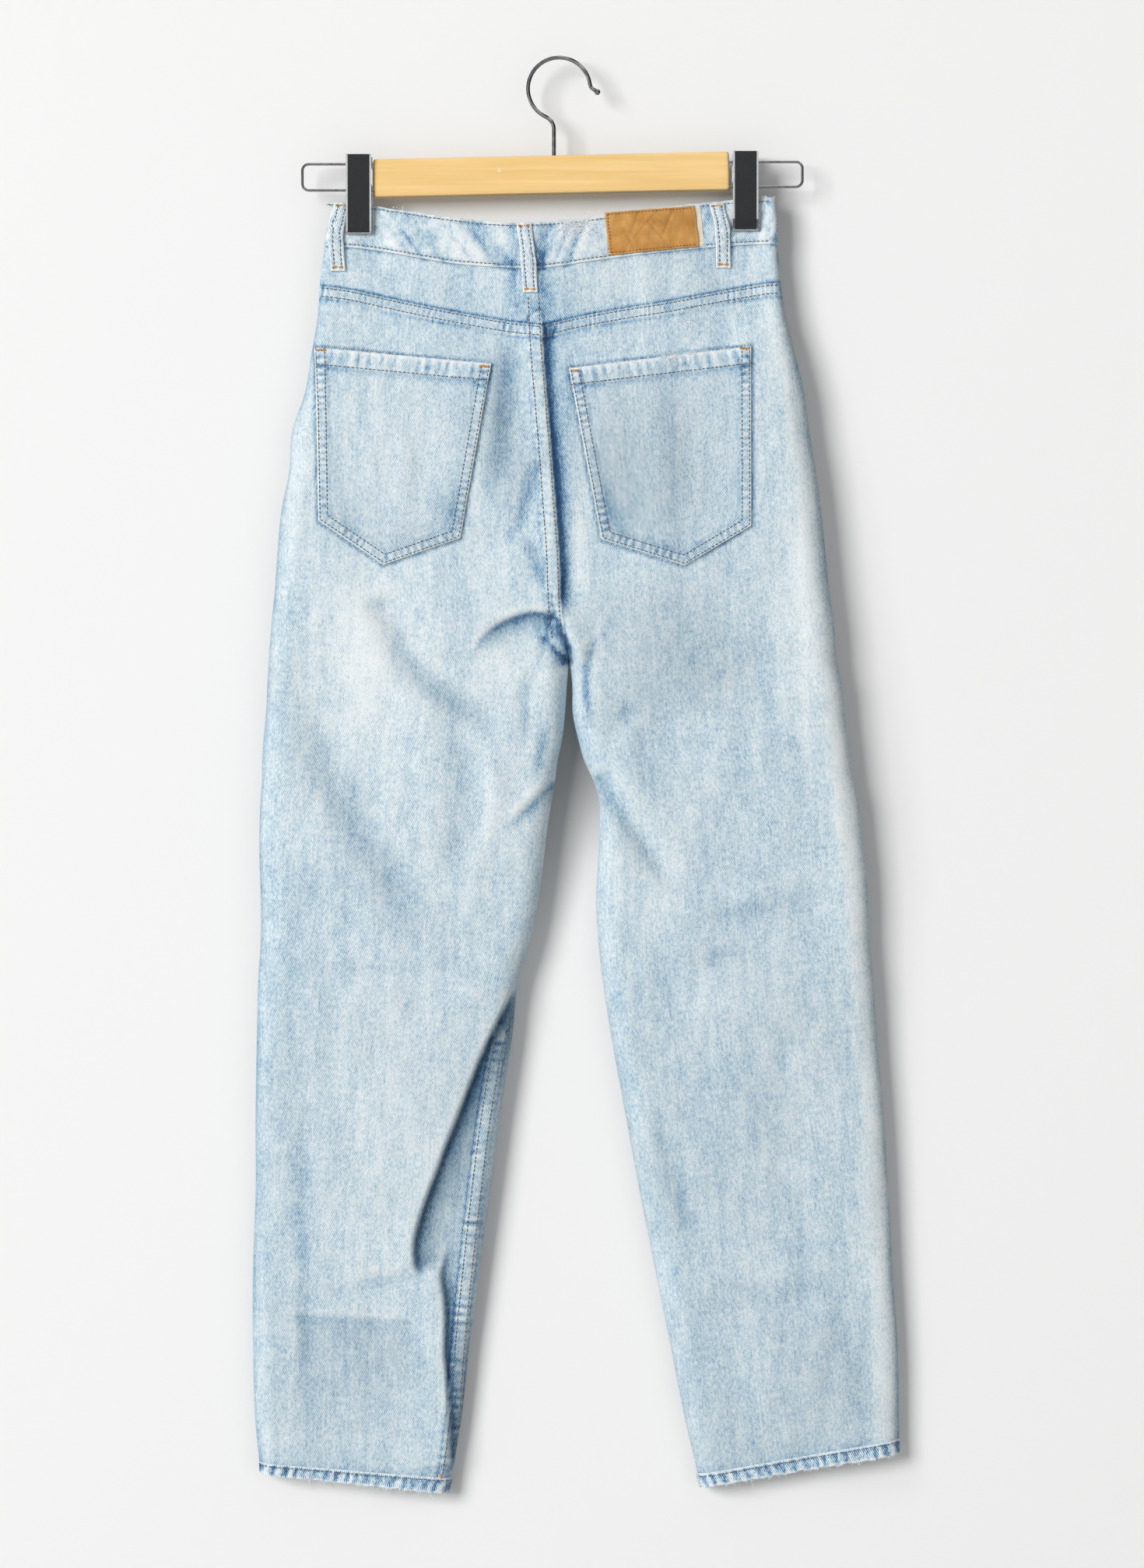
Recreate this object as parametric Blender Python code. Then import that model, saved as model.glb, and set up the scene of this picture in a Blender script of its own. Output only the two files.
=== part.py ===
"""Straight, slim, light blue jeans that hang by the waistband from a wooden clip hanger.

Frame: +Z up, X across the garment, the back of the jeans faces -Y. The origin is the inside
top of the hanger's hook. Sizes below are millimetres; a height is given as its drop below
the origin. "left" and "right" are the wearer's, which are also the sides as seen from behind.
"""
import math
from collections import namedtuple

import bmesh
import bpy
import numpy as np

MM = 0.001

# Cloth
SEAM_GAP = 0.3
DENIM = 1.2
BAND = 2.4
BAND_PROUD = 0.7
CROTCH_DROP = 463.5
CROTCH_RISE = 28.0
POCKET_INSET = 2.8
BAND_HEIGHT = 35.0
FRONT_DIP = 12.0
SCOOP_WIDTH = 82.0
SCOOP_HEIGHT = 78.0
SCOOP_CURVE = 2.4
POCKET_DEEPER = 1.8
SCOOP_UNDERLAP = 9.0
FLY_UNDERLAP = 15.0
FLY_OVERLAP = 17.0
FLY_RAMP = 18.0
LOOP_WIDTH = 11.5
LOOP_THICK = 1.5
PATCH_THICK = 1.2
BUTTON_RADIUS = 8.5
BUTTON_THICK = 3.0
BUTTON_SIDES = 20
LAP_COLUMNS = 14
WRAP_COLUMNS = 16
FRONT_COLUMNS = 15

# Hanger
HOOK_RADIUS = 24.0
HOOK_FROM = 8.0
HOOK_TO = 244.6
HOOK_STEPS = 34
TIP_RADIUS = 5.0
TIP_TURN = 48.0
TIP_LENGTH = 6.6
NECK_RADIUS = 11.0
WIRE_HOOK = 3.0
WIRE_LOOP = 2.0
LOOP_CORNER = 5.0
WIRE_SIDES = 8
BALL_RADIUS = 2.3
BAR_SIZE = (274.2, 12.0, 29.7)
BAR_CENTRE = (-6.0, 89.1)
BAR_TILT = math.radians(1.25)
BAR_BEVEL = 2.5
CLIP_WIDTH = 19.6
CLIP_HEIGHT = 61.2
CLIP_PLATE = 1.8
CLIP_OUT = 8.2
CLIP_JAW = 4.0
HANGER_GAP = 0.4

Outline = namedtuple("Outline", "drop left_side left_inner right_inner right_side")
OUTLINE = [
    # the inner columns are the seat seam down to the crotch, then each leg's inner edge
    Outline(107, -173, -14, -14, 166),
    Outline(128, -178, -14, -14, 168),
    Outline(146, -181, -14, -14, 168),
    Outline(167, -184, -14, -14, 170),
    Outline(197, -186, -13, -13, 174),
    Outline(227, -191, -11.5, -11.5, 182),
    Outline(257, -196, -9, -9, 189),
    Outline(287, -206, -6.5, -6.5, 193),
    Outline(317, -208, -4, -4, 198),
    Outline(347, -214, -2, -2, 202),
    Outline(377, -217, 0.5, 0.5, 205),
    Outline(407, -219, 1.5, 1.5, 208),
    Outline(437, -222, 3.5, 3.5, 212),
    Outline(463.5, -224, 7.5, 7.5, 214),
    Outline(482, -225, 6, 10, 218),
    Outline(504, -226, 4.5, 10.5, 220),
    Outline(525, -228, 2, 15, 223),
    Outline(542, -229, -1.5, 20, 225),
    Outline(555, -229, -3, 26, 227),
    Outline(567, -230, -5, 30, 230),
    Outline(592, -231, -9, 31, 233),
    Outline(617, -231, -12, 30, 236),
    Outline(647, -230, -16, 28.5, 238),
    Outline(677, -230, -21.5, 30, 239),
    Outline(709, -232, -31, 33.5, 242),
    Outline(752, -233, -36, 40, 245),
    Outline(812, -234, -45, 51, 250),
    Outline(872, -234, -53, 62, 254),
    Outline(932, -236, -61, 74, 257),
    Outline(992, -236, -69, 86, 261),
    Outline(1052, -234, -76, 98, 262),
    Outline(1082, -231, -81, 105, 262),
    Outline(1103, -230, -85, 109, 262),
]

Depth = namedtuple("Depth", "drop back front side_edge inner_edge")
DEPTHS = [
    # how far the cloth stands from the flat middle, and how wide its rounded edges are
    Depth(107, 9, 9, 5, 16),
    Depth(150, 10, 9, 6, 16),
    Depth(180, 11.5, 10, 8, 16),
    Depth(230, 14, 12, 12, 16),
    Depth(330, 17, 14, 17, 16),
    Depth(430, 18, 15, 20, 16),
    Depth(520, 17, 15, 22, 16),
    Depth(650, 15, 14, 22, 17),
    Depth(800, 13, 12, 20, 19),
    Depth(950, 11.5, 10.5, 17, 19),
    Depth(1103, 10, 9, 15, 16),
]

Pinch = namedtuple("Pinch", "x depth")
WAIST_PINCH = [
    # the clips press the two waistbands together, and the waist opens between them
    Pinch(-182, 4.6),
    Pinch(-168, 3.1),
    Pinch(-143, 2.9),
    Pinch(-108, 6),
    Pinch(-40, 10),
    Pinch(20, 10.5),
    Pinch(80, 8),
    Pinch(112, 5),
    Pinch(132, 2.9),
    Pinch(155, 2.9),
    Pinch(170, 5.5),
]
PINCH_FROM = 137.0
PINCH_TO = 240.0

BandRow = namedtuple("BandRow", "x top bottom")
WAISTBAND = [
    BandRow(-181, 109, 144),
    BandRow(-143, 113, 147.5),
    BandRow(-113, 118, 153),
    BandRow(-77, 123.5, 159),
    BandRow(-47, 126.5, 161.5),
    BandRow(-11, 126.3, 162),
    BandRow(22, 123.3, 157.5),
    BandRow(61, 117.5, 152),
    BandRow(109, 111.3, 146.5),
    BandRow(145, 108, 143.5),
    BandRow(169, 107, 143),
]

Fold = namedtuple("Fold", "face step ridge sharp high low fade_in fade_out path")
FOLDS = [
    # step: half the height between the two sides, the photo's left one high as the path runs
    # down; ridge: height of a crest (or, below zero, depth of a trough) along the path
    Fold("back", 1.6, 0, 5, 16, 12, 0.3, 0.15, [(-13, 206), (-7, 290), (0, 374), (1, 410), (3, 434)]),
    Fold("back", 3.2, 0, 4, 20, 24, 0.05, 0.5, [(-2, 429), (-24, 427), (-43, 435), (-59, 451), (-66, 466)]),
    Fold("back", -3.0, 0, 4, 14, 18, 0.3, 0.1, [(-3, 398), (-2.5, 430), (3.5, 444), (10, 456), (10, 470)]),
    Fold("back", 1.2, -2.5, 4, 16, 16, 0.05, 0.4, [(-4, 556), (-22, 574), (-47, 599)]),
    Fold("back", 3.6, 0, 5, 45, 18, 0.1, 0.12,
         [(-31, 706), (-54, 755), (-69, 788), (-95, 850), (-104, 880), (-110, 914), (-107, 940)]),
    Fold("back", 2.4, 0, 4, 15, 10, 0.25, 0.02,
         [(-87, 902), (-90, 946), (-88, 967), (-86, 1026), (-84, 1082)]),
    Fold("back", 0, -3.0, 20, 30, 30, 0.3, 0.3, [(-119, 430), (-85, 480), (-55, 530), (-12, 612)]),
    Fold("back", 0, -2.4, 9, 14, 14, 0.1, 0.4, [(30, 560), (59, 597), (95, 645)]),
    Fold("back", -1.4, 0, 8, 18, 18, 0.3, 0.4, [(56, 500), (60, 530), (68, 562)]),
    Fold("back", 0, -2.0, 8, 12, 12, 0.3, 0.3, [(28, 514), (47, 489)]),
    Fold("back", 0, -1.8, 7, 12, 12, 0.3, 0.3, [(94, 698), (120, 694), (145, 687)]),
    Fold("back", 0, -1.6, 7, 12, 12, 0.3, 0.3, [(103, 663), (140, 654)]),
    Fold("back", 0, -1.8, 9, 14, 14, 0.3, 0.3, [(70, 800), (88, 860), (107, 921)]),
    Fold("back", 0, -1.5, 8, 12, 12, 0.3, 0.1, [(-196, 780), (-196, 940), (-194, 1082)]),
    Fold("back", 0, -1.6, 8, 12, 12, 0.3, 0.4, [(-47, 250), (-44, 314), (-60, 345)]),
    Fold("front", 0, -2.6, 12, 18, 18, 0.1, 0.4, [(0, 452), (-45, 420), (-120, 395)]),
    Fold("front", 0, -2.6, 12, 18, 18, 0.1, 0.4, [(16, 452), (60, 424), (130, 404)]),
    Fold("front", 0, -2.0, 10, 16, 16, 0.1, 0.4, [(-4, 500), (-60, 478), (-120, 470)]),
    Fold("front", 0, -2.0, 10, 16, 16, 0.1, 0.4, [(18, 520), (70, 506), (125, 512)]),
    Fold("front", 0, -1.8, 9, 14, 14, 0.3, 0.3, [(-60, 700), (-110, 684), (-170, 690)]),
    Fold("front", 0, -1.8, 9, 14, 14, 0.3, 0.3, [(80, 690), (130, 706), (190, 700)]),
    Fold("front", 0, -1.8, 10, 16, 16, 0.3, 0.1, [(-150, 800), (-140, 930), (-150, 1082)]),
    Fold("front", 0, -1.8, 10, 16, 16, 0.3, 0.1, [(150, 790), (170, 920), (180, 1070)]),
]

Wrap = namedtuple("Wrap", "drop width")
INSEAM_TWIST = [
    # the left inseam turns onto the back of the leg below the knee
    Wrap(680, 0),
    Wrap(716, 6),
    Wrap(752, 15.5),
    Wrap(800, 17.5),
    Wrap(900, 17),
    Wrap(1000, 14),
    Wrap(1104, 10),
]

Pocket = namedtuple("Pocket", "outer_top inner_top outer_low inner_low tip")
BACK_POCKETS = {
    "left": Pocket((-187.0, 223.5), (-52.0, 236.0), (-184.5, 356.5), (-75.5, 370.0), (-134.5, 390.5)),
    "right": Pocket((147.5, 222.5), (7.5, 239.5), (147.5, 360.5), (32.5, 371.0), (96.5, 391.0)),
}
POCKET_TIP_AT = 0.45

HemLine = namedtuple("HemLine", "side inner side_low inner_low")
HEMS = {
    "left": HemLine(1080, 1092, 1088.7, 1104.3),
    "right": HemLine(1062, 1089, 1073.7, 1099.5),
}

BeltLoop = namedtuple("BeltLoop", "face top middle bottom")
BELT_LOOPS = {
    "belt_loop_left": BeltLoop("back", (-166.6, 111.0), (-171.5, 133.0), (-170.0, 164.0)),
    "belt_loop_middle": BeltLoop("back", (-27.0, 127.5), (-24.0, 152.0), (-22.0, 181.0)),
    "belt_loop_right": BeltLoop("back", (121.0, 112.0), (125.0, 130.0), (126.5, 161.5)),
    "belt_loop_front_left": BeltLoop("front", (-98.0, 130.0), (-99.0, 152.0), (-100.0, 179.0)),
    "belt_loop_front_right": BeltLoop("front", (100.0, 126.0), (101.0, 148.0), (102.0, 175.0)),
}

# x and drop of the leather patch's corners, clockwise from its upper left one
PATCH_CORNERS = ((35.0, 119.8), (104.0, 113.8), (107.5, 145.0), (38.7, 152.5))

WireLoop = namedtuple("WireLoop", "bar_end far upper lower")
WIRE_LOOPS = {
    "wire_loop_left": WireLoop(-143.1, -198.0, 80.7, 100.8),
    "wire_loop_right": WireLoop(131.1, 187.5, 78.9, 98.1),
}

Clip = namedtuple("Clip", "x top")
CLIPS = {"clip_left": Clip(-154.2, 74.1), "clip_right": Clip(143.4, 71.7)}

SIGN = {"left": 1.0, "right": -1.0}
FACING = {"back": -1.0, "front": 1.0}
FRONT_MIDDLE = ((107, 6.5), (CROTCH_DROP, 7.5))

# Grid of a back panel: rows by drop at the inner and the side seam, columns in three blocks
SIDE_COLUMNS = 5
POCKET_COLUMNS = 4
INNER_COLUMNS = 4
POCKET_ROWS = (2, 8)
CROTCH_ROW = 14
LEG_ROWS = 18
THIGH_SHARE = (0.27, 0.72)
GUIDE_FADE_ROWS = 7
POINT_FADE = 110.0
RISE_ROW = 10
MOUTH_ROWS = (0.0, 0.2, 0.38, 0.54, 0.68, 0.8, 0.89, 0.94, 0.975, 1.0)
FRONT_RISE_ROWS = (232.0, 262.0, 300.0, 345.0, 392.0)
FRONT_SIDE_ROWS = (250.0, 288.0, 328.0, 366.0)
SEAT_ROWS = {
    "inner": ((0, 206.0), (2, 239.0), (8, 374.0), (10, 435.5)),
    "side": ((0, 174.5), (2, 222.0), (8, 350.0), (10, 405.0), (14, 440.0)),
}
BELOW_CROTCH = (9.0, 24.0, 46.0)
EDGE_SHARE = 0.2
FACING_COLUMNS = (0.0, 0.01, 0.03, 0.07, 0.14, 0.26, 0.42, 0.6, 0.8, 1.0)
FACING_ROWS = 8

Paint = namedtuple("Paint", "colour roughness metallic")
PAINTS = {
    "denim": Paint((0.50, 0.63, 0.75), 0.9, 0.0),
    "denim_edge": Paint((0.42, 0.57, 0.72), 0.9, 0.0),
    "pocket": Paint((0.46, 0.60, 0.73), 0.9, 0.0),
    "leather": Paint((0.55, 0.31, 0.13), 0.6, 0.0),
    "wood": Paint((0.78, 0.55, 0.27), 0.45, 0.0),
    "chrome": Paint((0.72, 0.72, 0.74), 0.15, 1.0),
    "clip": Paint((0.02, 0.02, 0.022), 0.35, 0.0),
    "brass": Paint((0.55, 0.44, 0.30), 0.35, 1.0),
}


# ------------------------------------------------------------------ curves through the tables

def smooth(keys, values, at):
    """Cubic curve through the rows of a table, read at any place."""
    keys = np.asarray(keys, float)
    values = np.asarray(values, float)
    slope = np.gradient(values, keys)
    at = np.clip(np.asarray(at, float), keys[0], keys[-1])
    i = np.clip(np.searchsorted(keys, at) - 1, 0, len(keys) - 2)
    span = keys[i + 1] - keys[i]
    t = (at - keys[i]) / span
    start = (1 + 2 * t) * (1 - t) ** 2 * values[i] + t * (1 - t) ** 2 * span * slope[i]
    end = t * t * (3 - 2 * t) * values[i + 1] + t * t * (t - 1) * span * slope[i + 1]
    return start + end


def column(table, key, name, at):
    return smooth([getattr(row, key) for row in table], [getattr(row, name) for row in table], at)


def ease(t):
    t = np.clip(t, 0.0, 1.0)
    return t * t * (3 - 2 * t)


def quarter(t):
    """Height of a quarter ellipse, 0 at its edge and 1 from one radius in."""
    return np.sqrt(np.maximum(1 - (1 - np.clip(t, 0.0, 1.0)) ** 2, 0.0))


# ------------------------------------------------------------------ the form of the cloth

def side_x(leg, drop):
    return column(OUTLINE, "drop", leg + "_side", drop)


def inner_x(leg, face, drop):
    """Seat seam or centre front above the crotch, the leg's inner edge below it."""
    x = column(OUTLINE, "drop", leg + "_inner", drop)
    seat = (column(OUTLINE, "drop", "left_inner", drop) + column(OUTLINE, "drop", "right_inner", drop)) / 2
    if face == "front":
        seat = np.interp(drop, *zip(*FRONT_MIDDLE))
    return np.where(np.asarray(drop) < CROTCH_DROP, seat, x) - SIGN[leg] * SEAM_GAP / 2


def fold_height(face, x, drop):
    """Sum of the folds: a step across the path and a crest or trough along it."""
    total = np.zeros(np.broadcast(x, drop).shape)
    for fold in FOLDS:
        if fold.face != face:
            continue
        points = np.array(fold.path, float)
        marks = np.arange(len(points))
        fine = np.linspace(0, len(points) - 1, 25)
        px, pd = smooth(marks, points[:, 0], fine), smooth(marks, points[:, 1], fine)
        nearest = np.full(total.shape, np.inf)
        signed = np.zeros(total.shape)
        along = np.zeros(total.shape)
        for k in range(len(fine) - 1):
            dx, dd = px[k + 1] - px[k], pd[k + 1] - pd[k]
            length = math.hypot(dx, dd)
            t = np.clip(((x - px[k]) * dx + (drop - pd[k]) * dd) / length ** 2, 0, 1)
            away_x, away_d = x - px[k] - t * dx, drop - pd[k] - t * dd
            distance = np.hypot(away_x, away_d)
            closer = distance < nearest
            side = np.where(dx * away_d - dd * away_x >= 0, 1.0, -1.0)
            nearest = np.where(closer, distance, nearest)
            signed = np.where(closer, side * distance, signed)
            along = np.where(closer, (k + t) / (len(fine) - 1), along)
        fade = ease(along / fold.fade_in) * ease((1 - along) / fold.fade_out)
        width = np.where(signed > 0, fold.high, fold.low)
        step = fold.step * np.tanh(signed / fold.sharp) * np.exp(-(signed / width) ** 2)
        crest = fold.ridge * np.exp(-(signed / fold.sharp) ** 2)
        total = total + fade * (step + crest)
    return total


def body_depth(face, x, drop):
    """Distance of the cloth from the middle plane, away from its rounded edges."""
    waist = column(WAIST_PINCH, "x", "depth", x)
    body = column(DEPTHS, "drop", face, drop)
    share = ease((drop - PINCH_FROM) / (PINCH_TO - PINCH_FROM))
    return waist * (1 - share) + body * share


def relief(leg, face, x, drop):
    """Outer skin over the flat middle plane: depth and folds, rounded to zero at its edges."""
    sign = SIGN[leg]
    from_side = sign * (x - side_x(leg, drop))
    from_inner = np.maximum(sign * (inner_x(leg, face, drop) - x), 0.0)
    side_edge = column(DEPTHS, "drop", "side_edge", drop)
    inner_edge = column(DEPTHS, "drop", "inner_edge", drop)
    above = np.clip((CROTCH_DROP - drop) / CROTCH_RISE, 0.0, 1.0)
    edges = quarter(from_side / side_edge) * quarter(from_inner / inner_edge + above)
    return (body_depth(face, x, drop) + fold_height(face, x, drop)) * edges


def place(leg, face, x, drop, inward, level=False):
    """Points of the cloth in metres, moved inward from its outer skin along the normal, or
    along the level part of the normal."""
    x, drop, inward = np.broadcast_arrays(np.asarray(x, float), np.asarray(drop, float), inward)
    facing = FACING[face]
    tiny = 0.01
    y = relief(leg, face, x, drop)
    slope_x = (relief(leg, face, x + tiny, drop) - relief(leg, face, x - tiny, drop)) / (2 * tiny)
    slope_d = (relief(leg, face, x, drop + tiny) - relief(leg, face, x, drop - tiny)) / (2 * tiny)
    slope_d = slope_d * (0.0 if level else 1.0)
    normal = np.stack([slope_x, -facing * np.ones_like(x), -slope_d], axis=-1)
    normal /= np.linalg.norm(normal, axis=-1, keepdims=True)
    points = np.stack([x, facing * np.maximum(y, SEAM_GAP / 2), -drop], axis=-1)
    return (points + normal * inward[..., None]) * MM


def hold_edge(points, face):
    """Keep the points of a seam edge on their own side of the flat middle plane."""
    facing = FACING[face]
    points[..., 1] = facing * np.maximum(facing * points[..., 1], SEAM_GAP / 2 * MM)
    return points


def level_rows(outer, inner, rows):
    """Keep the wall level where another piece is sewn to it."""
    for row in rows:
        inner[row, :, 2] = outer[row, :, 2]


# ------------------------------------------------------------------ grids of the panels

def row_drops(leg):
    """Drop of each row of a leg panel at its inner and its side seam."""
    rows = np.arange(CROTCH_ROW + 1)
    inner = np.interp(rows, *zip(*SEAT_ROWS["inner"]))
    turn = np.linspace(math.pi / 2, 0, CROTCH_ROW - RISE_ROW + 1)
    inner[RISE_ROW:] = CROTCH_DROP - CROTCH_RISE * (1 - np.cos(turn))
    side = np.interp(rows, *zip(*SEAT_ROWS["side"]))
    hem = HEMS[leg]
    first = CROTCH_DROP + BELOW_CROTCH[-1]
    rest = np.linspace(first, hem.inner - SEAM_GAP / 2, LEG_ROWS - len(BELOW_CROTCH) + 1)[1:]
    below = np.concatenate([CROTCH_DROP + np.array(BELOW_CROTCH), rest])
    share = (below - CROTCH_DROP) / (below[-1] - CROTCH_DROP)
    below_side = side[-1] + (hem.side - SEAM_GAP / 2 - side[-1]) * share
    return np.concatenate([inner, below]), np.concatenate([side, below_side])


def pocket_point(leg, across, down):
    """Place on the back pocket: across from its outer to its inner edge, down to its point."""
    pocket = BACK_POCKETS[leg]
    mix = lambda a, b, t: a + (b - a) * t
    low = [
        np.where(
            across < POCKET_TIP_AT,
            mix(pocket.outer_low[k], pocket.tip[k], across / POCKET_TIP_AT),
            mix(pocket.tip[k], pocket.inner_low[k], (across - POCKET_TIP_AT) / (1 - POCKET_TIP_AT)),
        )
        for k in (0, 1)
    ]
    top = [mix(pocket.outer_top[k], pocket.inner_top[k], across) for k in (0, 1)]
    return mix(top[0], low[0], down), mix(top[1], low[1], down)


def twist_width(leg, drop):
    """How far the inseam lies from the leg's inner edge, on its back."""
    if leg == "right":
        return np.zeros_like(drop)
    return column(INSEAM_TWIST, "drop", "width", drop)


def back_grid(leg):
    """x and drop of every node of a back panel, with the pocket's outline on its grid lines."""
    sign = SIGN[leg]
    inner_drop, side_drop = row_drops(leg)
    count = len(inner_drop)
    first, last = POCKET_ROWS
    row = np.arange(count)
    down = np.clip((row - first) / (last - first), 0, 1)[:, None]
    across = np.concatenate([
        np.linspace(0, POCKET_TIP_AT, POCKET_COLUMNS + 1),
        np.linspace(POCKET_TIP_AT, 1, POCKET_COLUMNS + 1)[1:],
    ])[None, :]
    side = side_x(leg, side_drop)[:, None]
    edge = inner_x(leg, "back", inner_drop)[:, None]
    twist = twist_width(leg, inner_drop)[:, None]
    seam = edge - sign * np.where(twist > SEAM_GAP, twist + SEAM_GAP / 2, 0.0)
    line = lambda x: side_drop[:, None] + (inner_drop - side_drop)[:, None] * (x - side) / (edge - side)

    pocket_x, pocket_drop = pocket_point(leg, across, down)
    thigh_x = side + (edge - side) * (THIGH_SHARE[0] + (THIGH_SHARE[1] - THIGH_SHARE[0]) * across)
    above = np.maximum(first - row, 0)[:, None] > 0
    shift = (side - side[first]) * (1 - across) + (edge - edge[first]) * across
    keep = 1 - ease((row - last) / GUIDE_FADE_ROWS)[:, None]
    middle_x = (pocket_x + np.where(above, shift, 0.0)) * keep + thigh_x * (1 - keep)
    extra = pocket_drop - line(pocket_x)
    extra[:first] = extra[first]
    extra[last:] = extra[last]
    middle_drop = (inner_drop + side_drop) / 2
    fade_below = 1 - ease((middle_drop - middle_drop[last]) / POINT_FADE)
    fade = np.where(row < first, row / first, fade_below)[:, None]

    turn = 1 - np.cos(np.linspace(0, math.pi / 2, SIDE_COLUMNS + 1))[None, :-1]
    side_cols = side + (middle_x[:, :1] - side) * turn
    turn = 1 - np.cos(np.linspace(math.pi / 2, 0, INNER_COLUMNS + 1))[None, 1:]
    inner_cols = seam + (middle_x[:, -1:] - seam) * turn
    x = np.concatenate([side_cols, middle_x, inner_cols], axis=1)
    blend_side = (side_cols - side) / (middle_x[:, :1] - side)
    blend_inner = (seam - inner_cols) / (seam - middle_x[:, -1:])
    extra = np.concatenate([extra[:, :1] * blend_side, extra, extra[:, -1:] * blend_inner], axis=1)
    return x, line(x) + extra * fade


def loop_columns(leg, drop, start, end, count):
    """x across the front of a leg from its inner edge (0) to its side (1); below 0 is its back.
    The columns gather on the two rounded edges, which take an equal share of them each."""
    u = start + (end - start) * np.linspace(0, 1, count)
    side, edge = side_x(leg, drop), inner_x(leg, "front", drop)
    inner_edge = column(DEPTHS, "drop", "inner_edge", drop)
    side_edge = column(DEPTHS, "drop", "side_edge", drop)
    flat = abs(edge - side) - inner_edge - side_edge
    inner_turn = np.clip(abs(u) / EDGE_SHARE, 0, 1) * math.pi / 2
    side_turn = np.clip((abs(u) - 1 + EDGE_SHARE) / EDGE_SHARE, 0, 1) * math.pi / 2
    across = np.clip((abs(u) - EDGE_SHARE) / (1 - 2 * EDGE_SHARE), 0, 1)
    away = inner_edge * (1 - np.cos(inner_turn)) + flat * across + side_edge * np.sin(side_turn)
    return u, edge - SIGN[leg] * away


def loop_start(leg, drop):
    """Place of the inseam on the loop of a leg: 0 on its inner edge, below 0 on its back."""
    twist = float(twist_width(leg, np.array(drop)))
    if twist <= SEAM_GAP:
        return 0.0
    inner_edge = float(column(DEPTHS, "drop", "inner_edge", drop))
    return -EDGE_SHARE * math.acos(1 - min((twist - SEAM_GAP / 2) / inner_edge, 1)) / (math.pi / 2)


def loop_end(leg, inner_drop, side_drop, cut):
    """Place on the loop of a leg where the front panel stops, short of its side by the cut."""
    side_edge = float(column(DEPTHS, "drop", "side_edge", side_drop))
    if cut < side_edge:
        return 1 - EDGE_SHARE * math.acos(1 - cut / side_edge) / (math.pi / 2)
    inner_edge = float(column(DEPTHS, "drop", "inner_edge", inner_drop))
    whole = abs(float(inner_x(leg, "front", inner_drop) - side_x(leg, side_drop)))
    return EDGE_SHARE + (1 - 2 * EDGE_SHARE) * (whole - cut - inner_edge) / (whole - inner_edge - side_edge)


def mouth_width(along):
    """Width of the hand pocket's mouth, from the waistband (0) to its end at the side (1)."""
    return SCOOP_WIDTH * (1 - np.clip(along, 0, 1) ** SCOOP_CURVE)


def front_top(x):
    """Upper edge of the front waistband, which dips between the sides."""
    left, right = side_x("left", 107.0), side_x("right", 107.0)
    dip = FRONT_DIP * np.sin(math.pi * np.clip((x - left) / (right - left), 0, 1)) ** 1.5
    return column(WAISTBAND, "x", "top", x) + dip


# ------------------------------------------------------------------ meshes

def paint(name):
    if name in bpy.data.materials:
        return bpy.data.materials[name]
    material = bpy.data.materials.new(name)
    material.use_nodes = True
    shader = material.node_tree.nodes["Principled BSDF"]
    colour, roughness, metallic = PAINTS[name]
    shader.inputs["Base Color"].default_value = (*colour, 1.0)
    shader.inputs["Roughness"].default_value = roughness
    shader.inputs["Metallic"].default_value = metallic
    return material


def add_object(name, vertices, faces, material):
    mesh = bpy.data.meshes.new(name)
    mesh.from_pydata([tuple(v) for v in vertices], [], faces)
    work = bmesh.new()
    work.from_mesh(mesh)
    bmesh.ops.recalc_face_normals(work, faces=work.faces)
    if work.calc_volume(signed=True) < 0:
        bmesh.ops.reverse_faces(work, faces=work.faces)
    work.to_mesh(mesh)
    work.free()
    mesh.shade_smooth()
    mesh.set_sharp_from_angle(angle=math.radians(40))
    mesh.materials.append(paint(material))
    thing = bpy.data.objects.new(name, mesh)
    bpy.context.scene.collection.objects.link(thing)
    return thing


def wall(name, outer, inner, material, ring=False):
    """Closed wall between two grids of points; a ring closes on itself across its columns."""
    rows, cols = outer.shape[:2]
    count = rows * cols
    node = lambda r, c, k: k * count + r * cols + c % cols
    across = cols if ring else cols - 1
    faces = []
    for r in range(rows - 1):
        for c in range(across):
            faces.append((node(r, c, 0), node(r, c + 1, 0), node(r + 1, c + 1, 0), node(r + 1, c, 0)))
            faces.append((node(r, c, 1), node(r + 1, c, 1), node(r + 1, c + 1, 1), node(r, c + 1, 1)))
    for c in range(across):
        for r in (0, rows - 1):
            faces.append((node(r, c, 0), node(r, c, 1), node(r, c + 1, 1), node(r, c + 1, 0)))
    if not ring:
        for r in range(rows - 1):
            for c in (0, cols - 1):
                faces.append((node(r, c, 0), node(r + 1, c, 0), node(r + 1, c, 1), node(r, c, 1)))
    points = np.concatenate([outer.reshape(-1, 3), inner.reshape(-1, 3)])
    return add_object(name, points, faces, material)


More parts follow.
